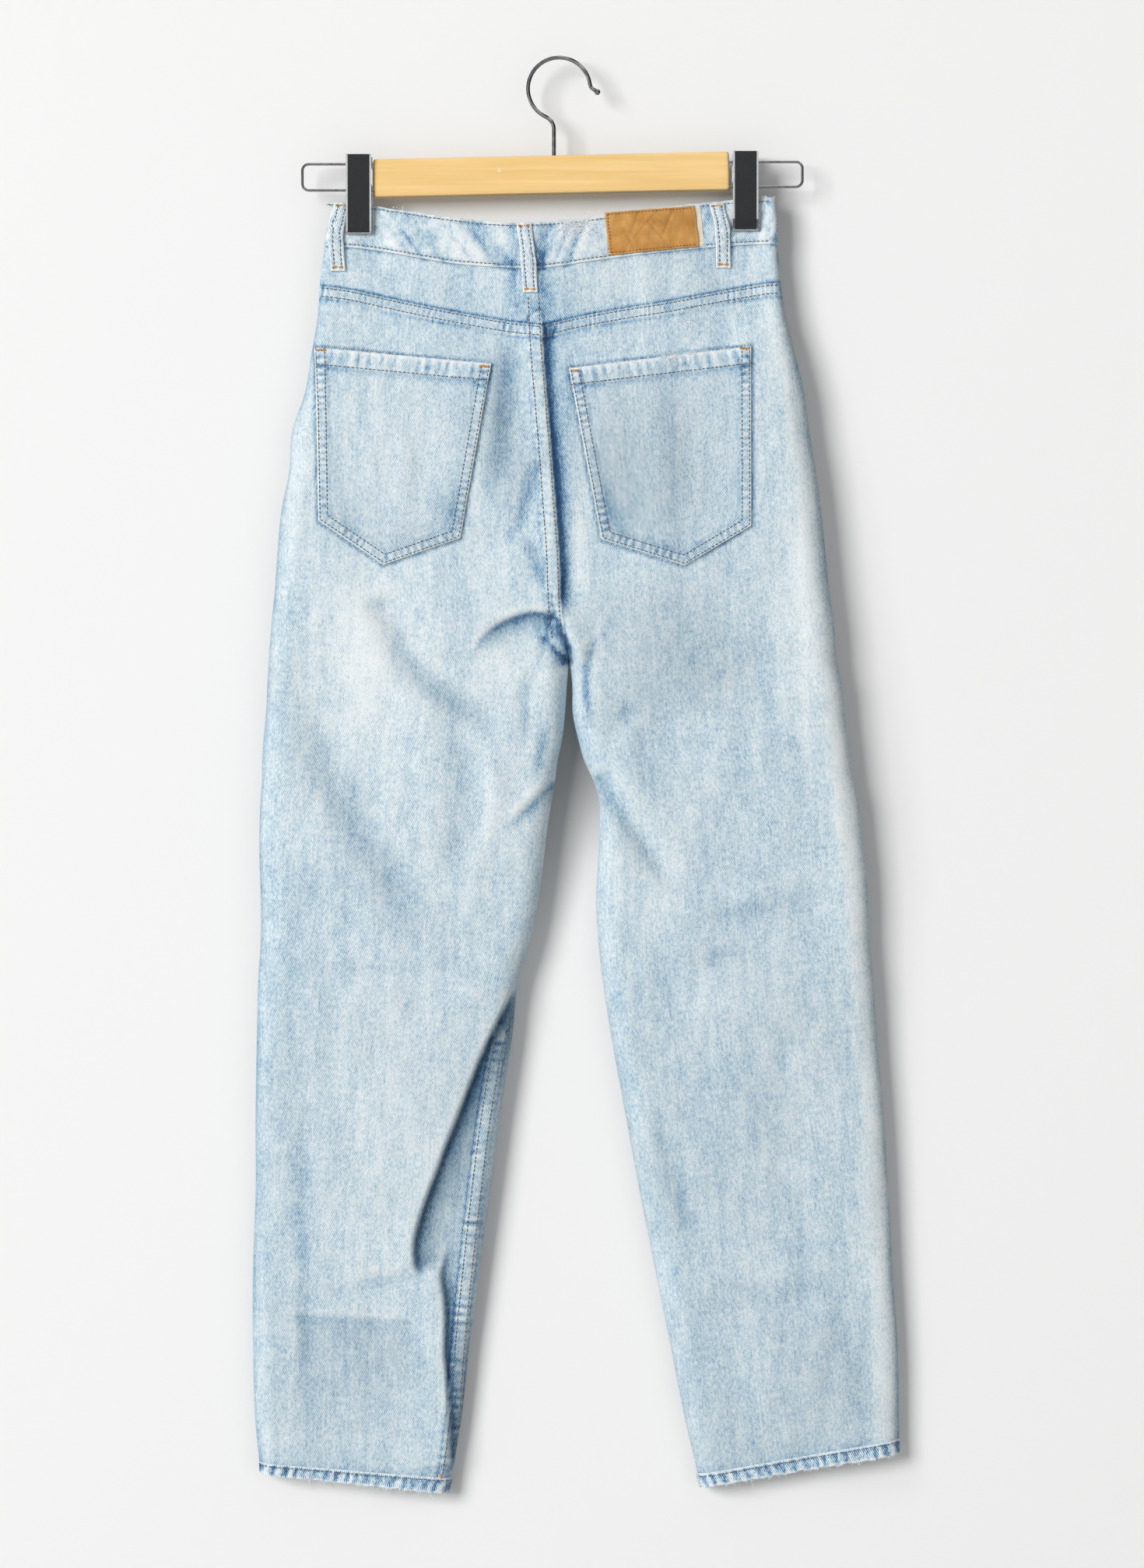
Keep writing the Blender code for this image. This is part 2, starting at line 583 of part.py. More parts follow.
def rod(name, path, radius, material, ball=0.0):
    """Round wire along a path in the hanger's plane, with flat ends or a ball on its first one."""
    sides = WIRE_SIDES
    path = np.array(path, float)
    ahead = np.gradient(path, axis=0)
    ahead /= np.linalg.norm(ahead, axis=1, keepdims=True)
    across = np.stack([-ahead[:, 1], ahead[:, 0]], axis=1)
    radii = np.full(len(path), radius)
    if ball:
        away = np.cumsum(np.linalg.norm(np.diff(path, axis=0, prepend=path[:1]), axis=1))
        bulge = np.sqrt(np.maximum(ball ** 2 - (away - 0.93 * ball) ** 2, 0))
        radii = np.maximum(np.where(away < 2 * ball, bulge, 0), np.where(away > ball, radius, 0.3))
    turn = np.arange(sides) * 2 * math.pi / sides
    ring = radii[:, None, None] * np.stack([np.cos(turn), np.sin(turn)], axis=1)[None]
    x = path[:, 0, None] + across[:, 0, None] * ring[..., 0]
    z = -(path[:, 1, None] + across[:, 1, None] * ring[..., 0])
    points = np.stack([x, ring[..., 1], z], axis=-1).reshape(-1, 3) * MM
    faces = []
    for k in range(len(path) - 1):
        for s in range(sides):
            t = (s + 1) % sides
            faces.append((k * sides + s, k * sides + t, (k + 1) * sides + t, (k + 1) * sides + s))
    faces.append(tuple(range(sides)))
    faces.append(tuple(range((len(path) - 1) * sides, len(path) * sides)))
    return add_object(name, points, faces, material)


# ------------------------------------------------------------------ the garment's pieces

def back_panel(leg):
    x, drop = back_grid(leg)
    outer = hold_edge(place(leg, "back", x, drop, 0.0), "back")
    inner = hold_edge(place(leg, "back", x, drop, DENIM), "back")
    level_rows(outer, inner, (0, -1))
    seat = drop[:, -1] < CROTCH_DROP
    inner[seat, -1, 0] = inner_x(leg, "back", -inner[seat, -1, 2] / MM) * MM
    wall("back_" + leg, outer, inner, "denim")


def back_pocket(leg):
    """Patch pocket: the panel's own nodes under it, moved out."""
    x, drop = back_grid(leg)
    rows = slice(POCKET_ROWS[0], POCKET_ROWS[1] + 1)
    cols = slice(SIDE_COLUMNS, SIDE_COLUMNS + 2 * POCKET_COLUMNS + 1)
    x, drop = x[rows, cols], drop[rows, cols]
    outer = place(leg, "back", x, drop, -SEAM_GAP - DENIM)
    inner = place(leg, "back", x, drop, -SEAM_GAP)
    wall("pocket_back_" + leg, outer, inner, "pocket")


def band_edge(leg, which):
    """x and drop along an edge of the back waistband, on the columns of the panel below."""
    x = back_grid(leg)[0][0]
    share = (x - x[0]) / (x[-1] - x[0])
    for _ in range(3):
        drop = column(WAISTBAND, "x", which, x)
        side, middle = side_x(leg, drop[0]), inner_x(leg, "back", drop[-1])
        x = side + share * (middle - side)
    return x, column(WAISTBAND, "x", which, x)


def between(first, last, count):
    """Rows of x and drop spread evenly from one edge to another."""
    down = np.linspace(0, 1, count)[:, None]
    return tuple(a + (b - a) * down for a, b in zip(first, last))


def yoke(leg):
    """Shaped piece between the waistband and the back panel."""
    panel_x, panel_drop = back_grid(leg)
    seam_x, seam_drop = band_edge(leg, "bottom")
    x, drops = between((seam_x, seam_drop + SEAM_GAP / 2), (panel_x[0], panel_drop[0] - SEAM_GAP), 3)
    outer = hold_edge(place(leg, "back", x, drops, 0.0, True), "back")
    inner = hold_edge(place(leg, "back", x, drops, DENIM, True), "back")
    inner[:, -1, 0] = outer[:, -1, 0]
    wall("yoke_" + leg, outer, inner, "denim")


def waistband_back():
    """One folded band across the back, on the columns of the two yokes."""
    halves = {"outer": [], "inner": []}
    for leg in ("left", "right"):
        seam_x, seam_drop = band_edge(leg, "bottom")
        x, drops = between(band_edge(leg, "top"), (seam_x, seam_drop - SEAM_GAP / 2), 3)
        if leg == "right":
            x, drops = x[:, -2::-1], drops[:, -2::-1]
        for skin, inward in (("outer", -BAND_PROUD), ("inner", BAND - BAND_PROUD)):
            halves[skin].append(hold_edge(place(leg, "back", x, drops, inward, True), "back"))
    wall("waistband_back", np.concatenate(halves["outer"], 1), np.concatenate(halves["inner"], 1), "denim")


def waistband_front(leg):
    """Half of the front band; the right one laps over the left and buttons on it."""
    middle = FRONT_MIDDLE[0][1]
    turn = 1 - np.cos(np.linspace(0, math.pi / 2, 4))
    side = side_x(leg, 128.0)
    first = side + SIGN[leg] * 6.0 * turn
    end = middle + FLY_UNDERLAP if leg == "left" else middle - FLY_OVERLAP
    x = np.concatenate([first, np.linspace(first[-1], end, LAP_COLUMNS)[1:]])[None, :]
    down = (BAND_HEIGHT - SEAM_GAP / 2) * np.array([0.0, 0.5, 1.0])[:, None]
    drops = front_top(x) + down
    x = np.repeat(x, 3, axis=0)
    x[:, :4] += side_x(leg, drops[:, :1]) - side
    drops = front_top(x) + down
    lift = np.zeros_like(x)
    if leg == "right":
        lift = (BAND + SEAM_GAP) * ease((middle + FLY_UNDERLAP + 2 + FLY_RAMP - x) / FLY_RAMP)
    whose = np.where(x < middle, "left", "right")
    sides = []
    for inward in (-BAND_PROUD - lift, BAND - BAND_PROUD - lift):
        points = np.where(
            (whose == "left")[..., None],
            place("left", "front", x, drops, inward, True),
            place("right", "front", x, drops, inward, True),
        )
        sides.append(hold_edge(points, "front"))
    wall("waistband_front_" + leg, *sides, "denim")


def front_panel(leg):
    """Front of a leg from the waistband to the hem, cut away by the hand pocket's curve."""
    inner_drop, side_drop = row_drops(leg)
    seam = BAND_HEIGHT + SEAM_GAP / 2
    top_side = front_top(side_x(leg, 150.0)) + seam
    top_inner = front_top(inner_x(leg, "front", 165.0)) + seam
    mouth_rows = np.array(MOUTH_ROWS)
    mouth_end = FRONT_RISE_ROWS[0]
    inner_drop = np.concatenate([
        top_inner + (mouth_end - top_inner) * mouth_rows, FRONT_RISE_ROWS[1:], inner_drop[RISE_ROW:],
    ])
    side_drop = np.concatenate([
        top_side + SCOOP_HEIGHT * mouth_rows, FRONT_SIDE_ROWS, side_drop[RISE_ROW:],
    ])
    xs, drops, on_back = [], [], []
    for row, (near, far) in enumerate(zip(inner_drop, side_drop)):
        start = loop_start(leg, near)
        end = loop_end(leg, near, far, float(mouth_width((far - top_side) / SCOOP_HEIGHT)))
        middle = (near + far) / 2
        u, x = loop_columns(leg, middle, start, end, FRONT_COLUMNS)
        share = (x - inner_x(leg, "front", middle)) / (side_x(leg, middle) - inner_x(leg, "front", middle))
        drop = near + (far - near) * share
        u, x = loop_columns(leg, drop, start, end, FRONT_COLUMNS)
        if row == 0:
            drop = front_top(x) + BAND_HEIGHT + SEAM_GAP / 2
        xs.append(x)
        drops.append(drop)
        on_back.append(u < 0)
    x, drop, on_back = np.array(xs), np.array(drops), np.array(on_back)[..., None]
    skins = []
    for inward in (0.0, DENIM):
        front = hold_edge(place(leg, "front", x, drop, inward), "front")
        back = hold_edge(place(leg, "back", x, drop, inward), "back")
        skins.append(np.where(on_back, back, front))
    level_rows(*skins, (0, -1))
    rise = drop[:, 0] < CROTCH_DROP
    skins[1][rise, 0, 0] = inner_x(leg, "front", -skins[1][rise, 0, 2] / MM) * MM
    wall("front_" + leg, *skins, "denim")


def hand_pocket(leg):
    """Facing of the hand pocket: it fills the cut-away corner and runs on under the panel."""
    sign = SIGN[leg]
    top_side = float(front_top(side_x(leg, 150.0))) + BAND_HEIGHT + SEAM_GAP / 2
    down = np.linspace(0, 1, FACING_ROWS)
    far = top_side + (SCOOP_HEIGHT + SCOOP_UNDERLAP) * np.sin(down * math.pi / 2)
    cut = np.sqrt(np.maximum(1 - ((far - top_side) / (SCOOP_HEIGHT + SCOOP_UNDERLAP)) ** 2, 0.003))
    cut = cut * (SCOOP_WIDTH + SCOOP_UNDERLAP)
    share = np.array(FACING_COLUMNS)[None, :]
    x = side_x(leg, far)[:, None] + sign * cut[:, None] * share
    drop = np.repeat(far[:, None], share.shape[1], axis=1)
    top = front_top(x) + BAND_HEIGHT + SEAM_GAP / 2
    drop = drop + (top - top_side) * (1 - down[:, None])
    along = ((far - top_side) / SCOOP_HEIGHT)[:, None]
    behind = ease(cut[:, None] * share / (0.6 * mouth_width(along) + 0.5))
    inset = POCKET_INSET * np.maximum(behind, ease((along - 0.7) / 0.25))
    inset = inset + POCKET_DEEPER * ease((along - 0.75) / 0.25)
    outer = hold_edge(place(leg, "front", x, drop, inset), "front")
    inner = hold_edge(place(leg, "front", x, drop, inset + DENIM), "front")
    outer[0, :, 2] = inner[0, :, 2] = -drop[0] * MM
    wall("pocket_front_" + leg, outer, inner, "pocket")


def hem(leg):
    """Turned-up hem: a ring all round the leg's end."""
    line = HEMS[leg]
    down = np.array([0.0, 0.5, 1.0])[:, None]
    side_drop = line.side + SEAM_GAP / 2 + (line.side_low - line.side - SEAM_GAP / 2) * down
    inner_drop = line.inner + SEAM_GAP / 2 + (line.inner_low - line.inner - SEAM_GAP / 2) * down
    skins = {"outer": [], "inner": []}
    for face in ("front", "back"):
        u, x = loop_columns(leg, (side_drop + inner_drop) / 2, 0.0, 1.0, WRAP_COLUMNS)
        share = (x - x[:, :1]) / (x[:, -1:] - x[:, :1])
        drop = inner_drop + (side_drop - inner_drop) * share
        u, x = loop_columns(leg, drop, 0.0, 1.0, WRAP_COLUMNS)
        if face == "back":
            x, drop = x[:, -2:0:-1], drop[:, -2:0:-1]
        skins["outer"].append(place(leg, face, x, drop, -BAND_PROUD, True))
        skins["inner"].append(place(leg, face, x, drop, BAND - BAND_PROUD, True))
    outer, inner = [np.concatenate(skins[skin], 1) for skin in ("outer", "inner")]
    wall("hem_" + leg, outer, inner, "denim_edge", True)


def belt_loop(name, spec):
    """Strap sewn at both ends, standing off the waistband between them."""
    steps = np.linspace(0, 1, 9)[:, None]
    marks = (0.0, 0.45, 1.0)
    x = smooth(marks, (spec.top[0], spec.middle[0], spec.bottom[0]), steps)
    drop = smooth(marks, (spec.top[1], spec.middle[1], spec.bottom[1]), steps)
    x = x + LOOP_WIDTH * np.linspace(-0.5, 0.5, 4)[None, :]
    drop = np.repeat(drop, 4, axis=1)
    top = front_top(x) if spec.face == "front" else column(WAISTBAND, "x", "top", x)
    drop = np.maximum(drop, top + 0.5)
    low = np.where(spec.face == "front", front_top(x) + BAND_HEIGHT, column(WAISTBAND, "x", "bottom", x))
    over_band = ease((low + 5 - drop) / 5)
    stand = 2.3 * SEAM_GAP + BAND_PROUD * over_band + 1.0 * np.sin(math.pi * steps) ** 2 * ease(4 * steps)
    whose = (x < 0)[..., None]
    skins = []
    for away in (stand + LOOP_THICK, stand):
        left = place("left", spec.face, x, drop, -away)
        right = place("right", spec.face, x, drop, -away)
        skins.append(np.where(whose, left, right))
    wall(name, *skins, "denim_edge")


def patch():
    """Plain leather patch sewn on the waistband."""
    across = np.linspace(0, 1, 9)[None, :]
    down = np.linspace(0, 1, 4)[:, None]
    weights = ((1 - across) * (1 - down), across * (1 - down), across * down, (1 - across) * down)
    x, drop = [sum(w * corner[k] for w, corner in zip(weights, PATCH_CORNERS)) for k in (0, 1)]
    proud = BAND_PROUD + SEAM_GAP + 0.2
    outer = place("right", "back", x, drop, -proud - PATCH_THICK)
    inner = place("right", "back", x, drop, -proud)
    wall("patch", outer, inner, "leather")


def button():
    """Domed jeans button on the lapped end of the front waistband."""
    middle = FRONT_MIDDLE[0][1]
    drop = float(front_top(middle)) + BAND_HEIGHT / 2
    skin = float(relief("right", "front", np.array(middle), np.array(drop)))
    base = skin + BAND_PROUD + BAND + 2 * SEAM_GAP
    profile = ((0.86, 0.0), (1.0, 0.35), (0.94, 0.7), (0.7, 0.9), (0.35, 1.0))
    sides = BUTTON_SIDES
    turn = np.arange(sides) * 2 * math.pi / sides
    points = [(middle, base, -drop)]
    faces = []
    for share, height in profile:
        for angle in turn:
            radius = BUTTON_RADIUS * share
            points.append((middle + radius * math.cos(angle), base + BUTTON_THICK * height,
                           -drop + radius * math.sin(angle)))
    points.append((middle, base + BUTTON_THICK, -drop))
    rings = len(profile)
    for s in range(sides):
        t = (s + 1) % sides
        faces.append((0, 1 + s, 1 + t))
        faces.append((len(points) - 1, 1 + (rings - 1) * sides + t, 1 + (rings - 1) * sides + s))
        for k in range(rings - 1):
            a, b = 1 + k * sides, 1 + (k + 1) * sides
            faces.append((a + s, b + s, b + t, a + t))
    add_object("button", np.array(points) * MM, faces, "brass")


# ------------------------------------------------------------------ the hanger's pieces

def arc(centre, radius, start, end, count):
    """Points of an arc as x and drop; angles in degrees, anticlockwise from +X."""
    angle = np.radians(np.linspace(start, end, count))
    return np.stack([centre[0] + radius * np.cos(angle), centre[1] - radius * np.sin(angle)], axis=1)


def hanger_hook():
    """Open hook from its ball tip, round the top, to the stem that enters the bar."""
    round_part = arc((0.0, HOOK_RADIUS - WIRE_HOOK / 2), HOOK_RADIUS, HOOK_FROM, HOOK_TO, HOOK_STEPS)
    outward = lambda degrees: np.array([math.cos(math.radians(degrees)), -math.sin(math.radians(degrees))])
    pivot = round_part[0] + outward(HOOK_FROM) * TIP_RADIUS
    tip = arc(pivot, TIP_RADIUS, HOOK_FROM + 180, HOOK_FROM + 180 + TIP_TURN, 5)[1:]
    ahead = outward(HOOK_FROM - 90 + TIP_TURN)
    straight = np.array([tip[-1] + ahead * TIP_LENGTH * s for s in (0.18, 0.4, 0.55, 0.7, 0.82, 0.94, 1.0)])
    neck_centre = round_part[-1] + outward(HOOK_TO) * NECK_RADIUS
    neck = arc(neck_centre, NECK_RADIUS, HOOK_TO - 180, 0, 8)[1:]
    bar_top = BAR_CENTRE[1] - BAR_SIZE[2] / 2 - HANGER_GAP
    stem_x, stem_top = neck[-1]
    stem = np.array([(stem_x, stem_top + (bar_top - stem_top) * s) for s in (0.5, 1.0)])
    path = np.concatenate([straight[::-1], tip[::-1], round_part, neck, stem])
    rod("hanger_hook", path, WIRE_HOOK / 2, "chrome", BALL_RADIUS)


def hanger_bar():
    bpy.ops.mesh.primitive_cube_add(size=1.0)
    bar = bpy.context.object
    bar.name = "hanger_bar"
    bar.scale = [side * MM for side in BAR_SIZE]
    bpy.ops.object.transform_apply(location=False, rotation=False, scale=True)
    bar.location = (BAR_CENTRE[0] * MM, 0.0, -BAR_CENTRE[1] * MM)
    bar.rotation_euler = (0.0, -BAR_TILT, 0.0)
    bevel = bar.modifiers.new("rounded edges", "BEVEL")
    bevel.width = BAR_BEVEL * MM
    bevel.segments = 3
    bar.data.materials.append(paint("wood"))
    bar.data.shade_smooth()
    bar.data.set_sharp_from_angle(angle=math.radians(60))


def wire_loop(name, spec):
    """Long U of wire that slides the clip; both its ends enter the end of the bar."""
    sign = math.copysign(1.0, spec.far - spec.bar_end)
    x_turn = spec.far - sign * LOOP_CORNER
    start = spec.bar_end + sign * 1.75 * HANGER_GAP
    half_way = (start + x_turn) / 2
    upper_turn = (90, 0) if sign > 0 else (90, 180)
    lower_turn = (0, -90) if sign > 0 else (180, 270)
    path = np.concatenate([
        [(start, spec.upper), (half_way, spec.upper)],
        arc((x_turn, spec.upper + LOOP_CORNER), LOOP_CORNER, *upper_turn, 6),
        arc((x_turn, spec.lower - LOOP_CORNER), LOOP_CORNER, *lower_turn, 6),
        [(half_way, spec.lower), (start, spec.lower)],
    ])
    rod(name, path, WIRE_LOOP / 2, "chrome")


def clip(name, spec):
    """Spring clip: two plates joined by a web between the wires, with a jaw at their lower end."""
    top, low = spec.top, spec.top + CLIP_HEIGHT
    half = [
        # distance out from the middle and drop, round one plate from web to web
        (CLIP_OUT - 0.6, top + 10.4),
        (CLIP_OUT, top),
        (CLIP_OUT + CLIP_PLATE, top),
        (CLIP_OUT + 0.6, low - 9.0),
        (CLIP_OUT, low - 2.0),
        (CLIP_OUT - 1.3, low),
        (CLIP_JAW, low),
        (CLIP_JAW, low - 6.5),
        (CLIP_OUT - 1.3, low - 8.5),
        (CLIP_OUT - 0.9, top + 22.9),
    ]
    outline = half + [(-y, d) for y, d in reversed(half)]
    ends = (spec.x - CLIP_WIDTH / 2, spec.x + CLIP_WIDTH / 2)
    vertices = [(x, y, -d) for x in ends for y, d in outline]
    count = len(outline)
    faces = [tuple(range(count)), tuple(range(count, 2 * count))]
    for k in range(count):
        n = (k + 1) % count
        faces.append((k, n, n + count, k + count))
    add_object(name, np.array(vertices) * MM, faces, "clip")


def build():
    for thing in list(bpy.data.objects):
        bpy.data.objects.remove(thing, do_unlink=True)
    for leg in ("left", "right"):
        back_panel(leg)
        front_panel(leg)
        yoke(leg)
        back_pocket(leg)
        hand_pocket(leg)
        waistband_front(leg)
        hem(leg)
    waistband_back()
    patch()
    button()
    for name, spec in BELT_LOOPS.items():
        belt_loop(name, spec)
    hanger_bar()
    hanger_hook()
    for name, spec in WIRE_LOOPS.items():
        wire_loop(name, spec)
    for name, spec in CLIPS.items():
        clip(name, spec)


build()
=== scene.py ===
import math
from collections import namedtuple

import bpy
import numpy as np
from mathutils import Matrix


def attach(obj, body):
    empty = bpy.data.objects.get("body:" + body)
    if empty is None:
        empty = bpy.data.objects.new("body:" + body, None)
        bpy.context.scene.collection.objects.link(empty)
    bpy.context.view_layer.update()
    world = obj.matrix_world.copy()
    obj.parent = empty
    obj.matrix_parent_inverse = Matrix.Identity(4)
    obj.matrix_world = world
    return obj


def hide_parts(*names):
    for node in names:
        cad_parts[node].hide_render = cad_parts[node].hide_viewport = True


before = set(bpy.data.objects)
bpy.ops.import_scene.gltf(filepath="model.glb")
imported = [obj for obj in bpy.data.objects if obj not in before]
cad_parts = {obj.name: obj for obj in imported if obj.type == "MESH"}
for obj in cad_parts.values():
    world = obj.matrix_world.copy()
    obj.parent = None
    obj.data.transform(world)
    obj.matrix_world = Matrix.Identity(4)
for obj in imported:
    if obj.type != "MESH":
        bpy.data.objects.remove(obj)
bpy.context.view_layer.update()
print("frame loaded:", len(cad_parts), "nodes")

# Places are x across the garment and drop below the hook's inside top, in millimetres.
# Left and right are the wearer's, which are also the photo's sides, because it shows the back.
mm = 0.001
rng = np.random.default_rng(11)
legSign = {"left": 1.0, "right": -1.0}
faceSign = {"back": -1.0, "front": 1.0}


def smooth(keys, values, at):
    # cubic curve through the rows of a table, its slope at a row taken from the rows on either side
    keys, values = np.asarray(keys, float), np.asarray(values, float)
    slope = np.gradient(values, keys)
    at = np.clip(np.asarray(at, float), keys[0], keys[-1])
    i = np.clip(np.searchsorted(keys, at) - 1, 0, len(keys) - 2)
    span = keys[i + 1] - keys[i]
    t = (at - keys[i]) / span
    start = (1 + 2 * t) * (1 - t) ** 2 * values[i] + t * (1 - t) ** 2 * span * slope[i]
    return start + t * t * (3 - 2 * t) * values[i + 1] + t * t * (t - 1) * span * slope[i + 1]


def setInputs(tree, node, given):
    # each input gets its constant, or a link from the socket that stands in the constant's place
    for key, value in given.items():
        if isinstance(value, bpy.types.NodeSocket):
            tree.links.new(value, node.inputs[key])
        else:
            node.inputs[key].default_value = value


def addNode(tree, kind, given=None, **settings):
    node = tree.nodes.new("ShaderNode" + kind)
    for key, value in settings.items():
        setattr(node, key, value)
    setInputs(tree, node, given or {})
    return node


def sumOf(tree, parts, total=0.0):
    # total + each value x its weight
    for socket, weight in parts:
        total = addNode(tree, "Math", {0: socket, 1: weight, 2: total}, operation="MULTIPLY_ADD").outputs[0]
    return total


def rampOf(tree, value, stops):
    # colours along a value, straight between the stops
    ramp = addNode(tree, "ValToRGB", {0: value})
    elements = ramp.color_ramp.elements
    while len(elements) < len(stops):
        elements.new(0.5)
    for element, (at, colour) in zip(elements, stops):
        element.position = at
        element.color = (*colour, 1.0)
    return ramp.outputs[0]


def noiseOf(tree, vector, scale=1.0, detail=2.0, stretch=None):
    if stretch:
        vector = addNode(tree, "Mapping", {0: vector, "Scale": stretch}).outputs[0]
    return addNode(tree, "TexNoise", {"Vector": vector, "Scale": scale, "Detail": detail}).outputs["Fac"]


def emptyTree(owner):
    owner.use_nodes = True
    owner.node_tree.nodes.clear()
    return owner.node_tree


shot = {"width": 1470, "height": 2014, "pixel": 0.6, "hookX": 718.5, "hookY": 76.5, "lens": 90.0, "sensor": 36.0}


def makeCamera():
    # distance = frame height x lens / sensor, so the frame holds 2014 pixels of 0.6 mm at the cloth
    data = bpy.data.cameras.new("camera")
    camera = bpy.data.objects.new("camera", data)
    bpy.context.scene.collection.objects.link(camera)
    data.lens, data.sensor_width = shot["lens"], shot["sensor"]
    data.clip_end = 30.0
    tall = shot["height"] * shot["pixel"] * mm
    x = (shot["width"] / 2 - shot["hookX"]) * shot["pixel"] * mm
    z = -(shot["height"] / 2 - shot["hookY"]) * shot["pixel"] * mm
    camera.location = (x, -tall * shot["lens"] / shot["sensor"], z)
    camera.rotation_euler = (math.pi / 2, 0.0, 0.0)
    bpy.context.scene.camera = camera


studio = {
    "sky": 0.315,
    "key": {"place": (-8.0, -9.7, 2.6), "size": 5.6, "power": 1390.0},
    "fill": {"place": (4.0, -7.0, -0.6), "size": 5.0, "power": 45.0},
    "aim": (0.0, 0.0, -0.56),
    "wallColour": (0.88, 0.88, 0.875),
    "floorColour": (0.80, 0.80, 0.80),
    "floorZ": -1.32,
    "mirrorAxis": (-0.75, 0.0, 0.65),
    # brightness that polished metal mirrors, from the lower right of the room, 0, to its upper left, 1
    "mirrored": ((0.0, 0.25), (0.12, 0.04), (0.19, 0.3), (0.25, 0.03), (0.48, 0.02), (0.505, 0.95), (0.575, 0.95),
                 (0.6, 0.02), (0.68, 0.03), (0.73, 1.2), (0.80, 1.1), (0.86, 0.03), (1.0, 0.2)),
}
# the wall just clears the garment's hidden side: drop, and how far behind the flat middle
wallLine = {
    "drop": (-1800, 0, 107, 300, 480, 650, 800, 950, 1103, 1320),
    "back": (23, 20.5, 19.8, 19.2, 19, 17, 14.4, 12.4, 11.3, 11),
}
# painted shadow that greys the wall in the nook beside a leg's edge, and how far it reaches, by drop;
# near: the cloth's x over that of the wall behind it in the camera's view; under: the painted shadow goes on
# so far behind the leg; full: above 1, the painted shadow stays whole for that much longer
paintedWallShadow = {
    "near": 0.99,
    "under": 60.0,
    "full": 1.35,
    "drop": (-1800, 90, 107, 206, 284, 374, 464, 554, 614, 674, 734, 854, 1034, 1100, 1116, 1320),
    "rightSide": (0, 0, 0.20, 0.12, 0.10, 0.10, 0.12, 0.14, 0.13, 0.12, 0.10, 0.08, 0.06, 0.05, 0, 0),
    "rightReach": (30, 30, 30, 36, 45, 55, 60, 60, 56, 50, 40, 30, 26, 24, 24, 24),
    "leftInner": (0, 0, 0, 0, 0, 0, 0.62, 0.56, 0.36, 0.14, 0.10, 0.08, 0.13, 0.11, 0, 0),
    "leftReach": (90, 90, 90, 90, 90, 90, 90, 86, 50, 32, 24, 18, 16, 16, 16, 16),
}


def makeLight(name, spec):
    # square lamp that shines at the middle of the garment; metal doesn't mirror it
    data = bpy.data.lights.new(name, "AREA")
    data.energy, data.size = spec["power"], spec["size"]
    lamp = bpy.data.objects.new(name, data)
    bpy.context.scene.collection.objects.link(lamp)
    lamp.location = spec["place"]
    lamp.visible_glossy = False
    away = np.array(spec["place"]) - studio["aim"]
    lamp.rotation_euler = (math.acos(away[2] / np.linalg.norm(away)), 0.0, math.atan2(away[1], away[0]) + math.pi / 2)


def makeSky():
    # even white light; only reflections see the dark bands that plated wire mirrors
    world = bpy.data.worlds.new("studio")
    bpy.context.scene.world = world
    tree = emptyTree(world)
    even = addNode(tree, "Background", {"Color": (1.0, 1.0, 0.995, 1.0), "Strength": studio["sky"]})
    coords = addNode(tree, "TexCoord")
    ways = {0: coords.outputs["Generated"], 1: studio["mirrorAxis"]}
    tilt = addNode(tree, "VectorMath", ways, operation="DOT_PRODUCT").outputs["Value"]
    share = sumOf(tree, [(tilt, 0.5)], 0.5)
    bands = rampOf(tree, share, [(at, (value, value, value)) for at, value in studio["mirrored"]])
    mirrored = addNode(tree, "Background", {"Color": bands})
    glossy = addNode(tree, "LightPath").outputs["Is Glossy Ray"]
    mix = addNode(tree, "MixShader", {0: glossy, 1: even.outputs[0], 2: mirrored.outputs[0]})
    addNode(tree, "OutputWorld", {0: mix.outputs[0]})


def flatSheet(name, corners, material, faces=((0, 1, 2, 3),)):
    mesh = bpy.data.meshes.new(name)
    mesh.from_pydata(corners, [], faces)
    mesh.shade_smooth()
    mesh.materials.append(material)
    thing = bpy.data.objects.new(name, mesh)
    bpy.context.scene.collection.objects.link(thing)
    return thing


def oneSided(name, colour, paintedShadowBy=None):
    # matt paint that shows from its front alone, so that the garment can be looked at from behind and below; a named
    # attribute darkens it with painted shadow
    paint = bpy.data.materials.new(name)
    tree = emptyTree(paint)
    shown = (*colour, 1.0)
    if paintedShadowBy:
        share = addNode(tree, "Attribute", attribute_name=paintedShadowBy).outputs["Fac"]
        shown = addNode(tree, "VectorMath", {0: colour, "Scale": share}, operation="SCALE").outputs[0]
    matt, clear = addNode(tree, "BsdfDiffuse", {"Color": shown}), addNode(tree, "BsdfTransparent")
    behind = addNode(tree, "NewGeometry").outputs["Backfacing"]
    mix = addNode(tree, "MixShader", {0: behind, 1: matt.outputs[0], 2: clear.outputs[0]})
    addNode(tree, "OutputMaterial", {0: mix.outputs[0]})
    return paint


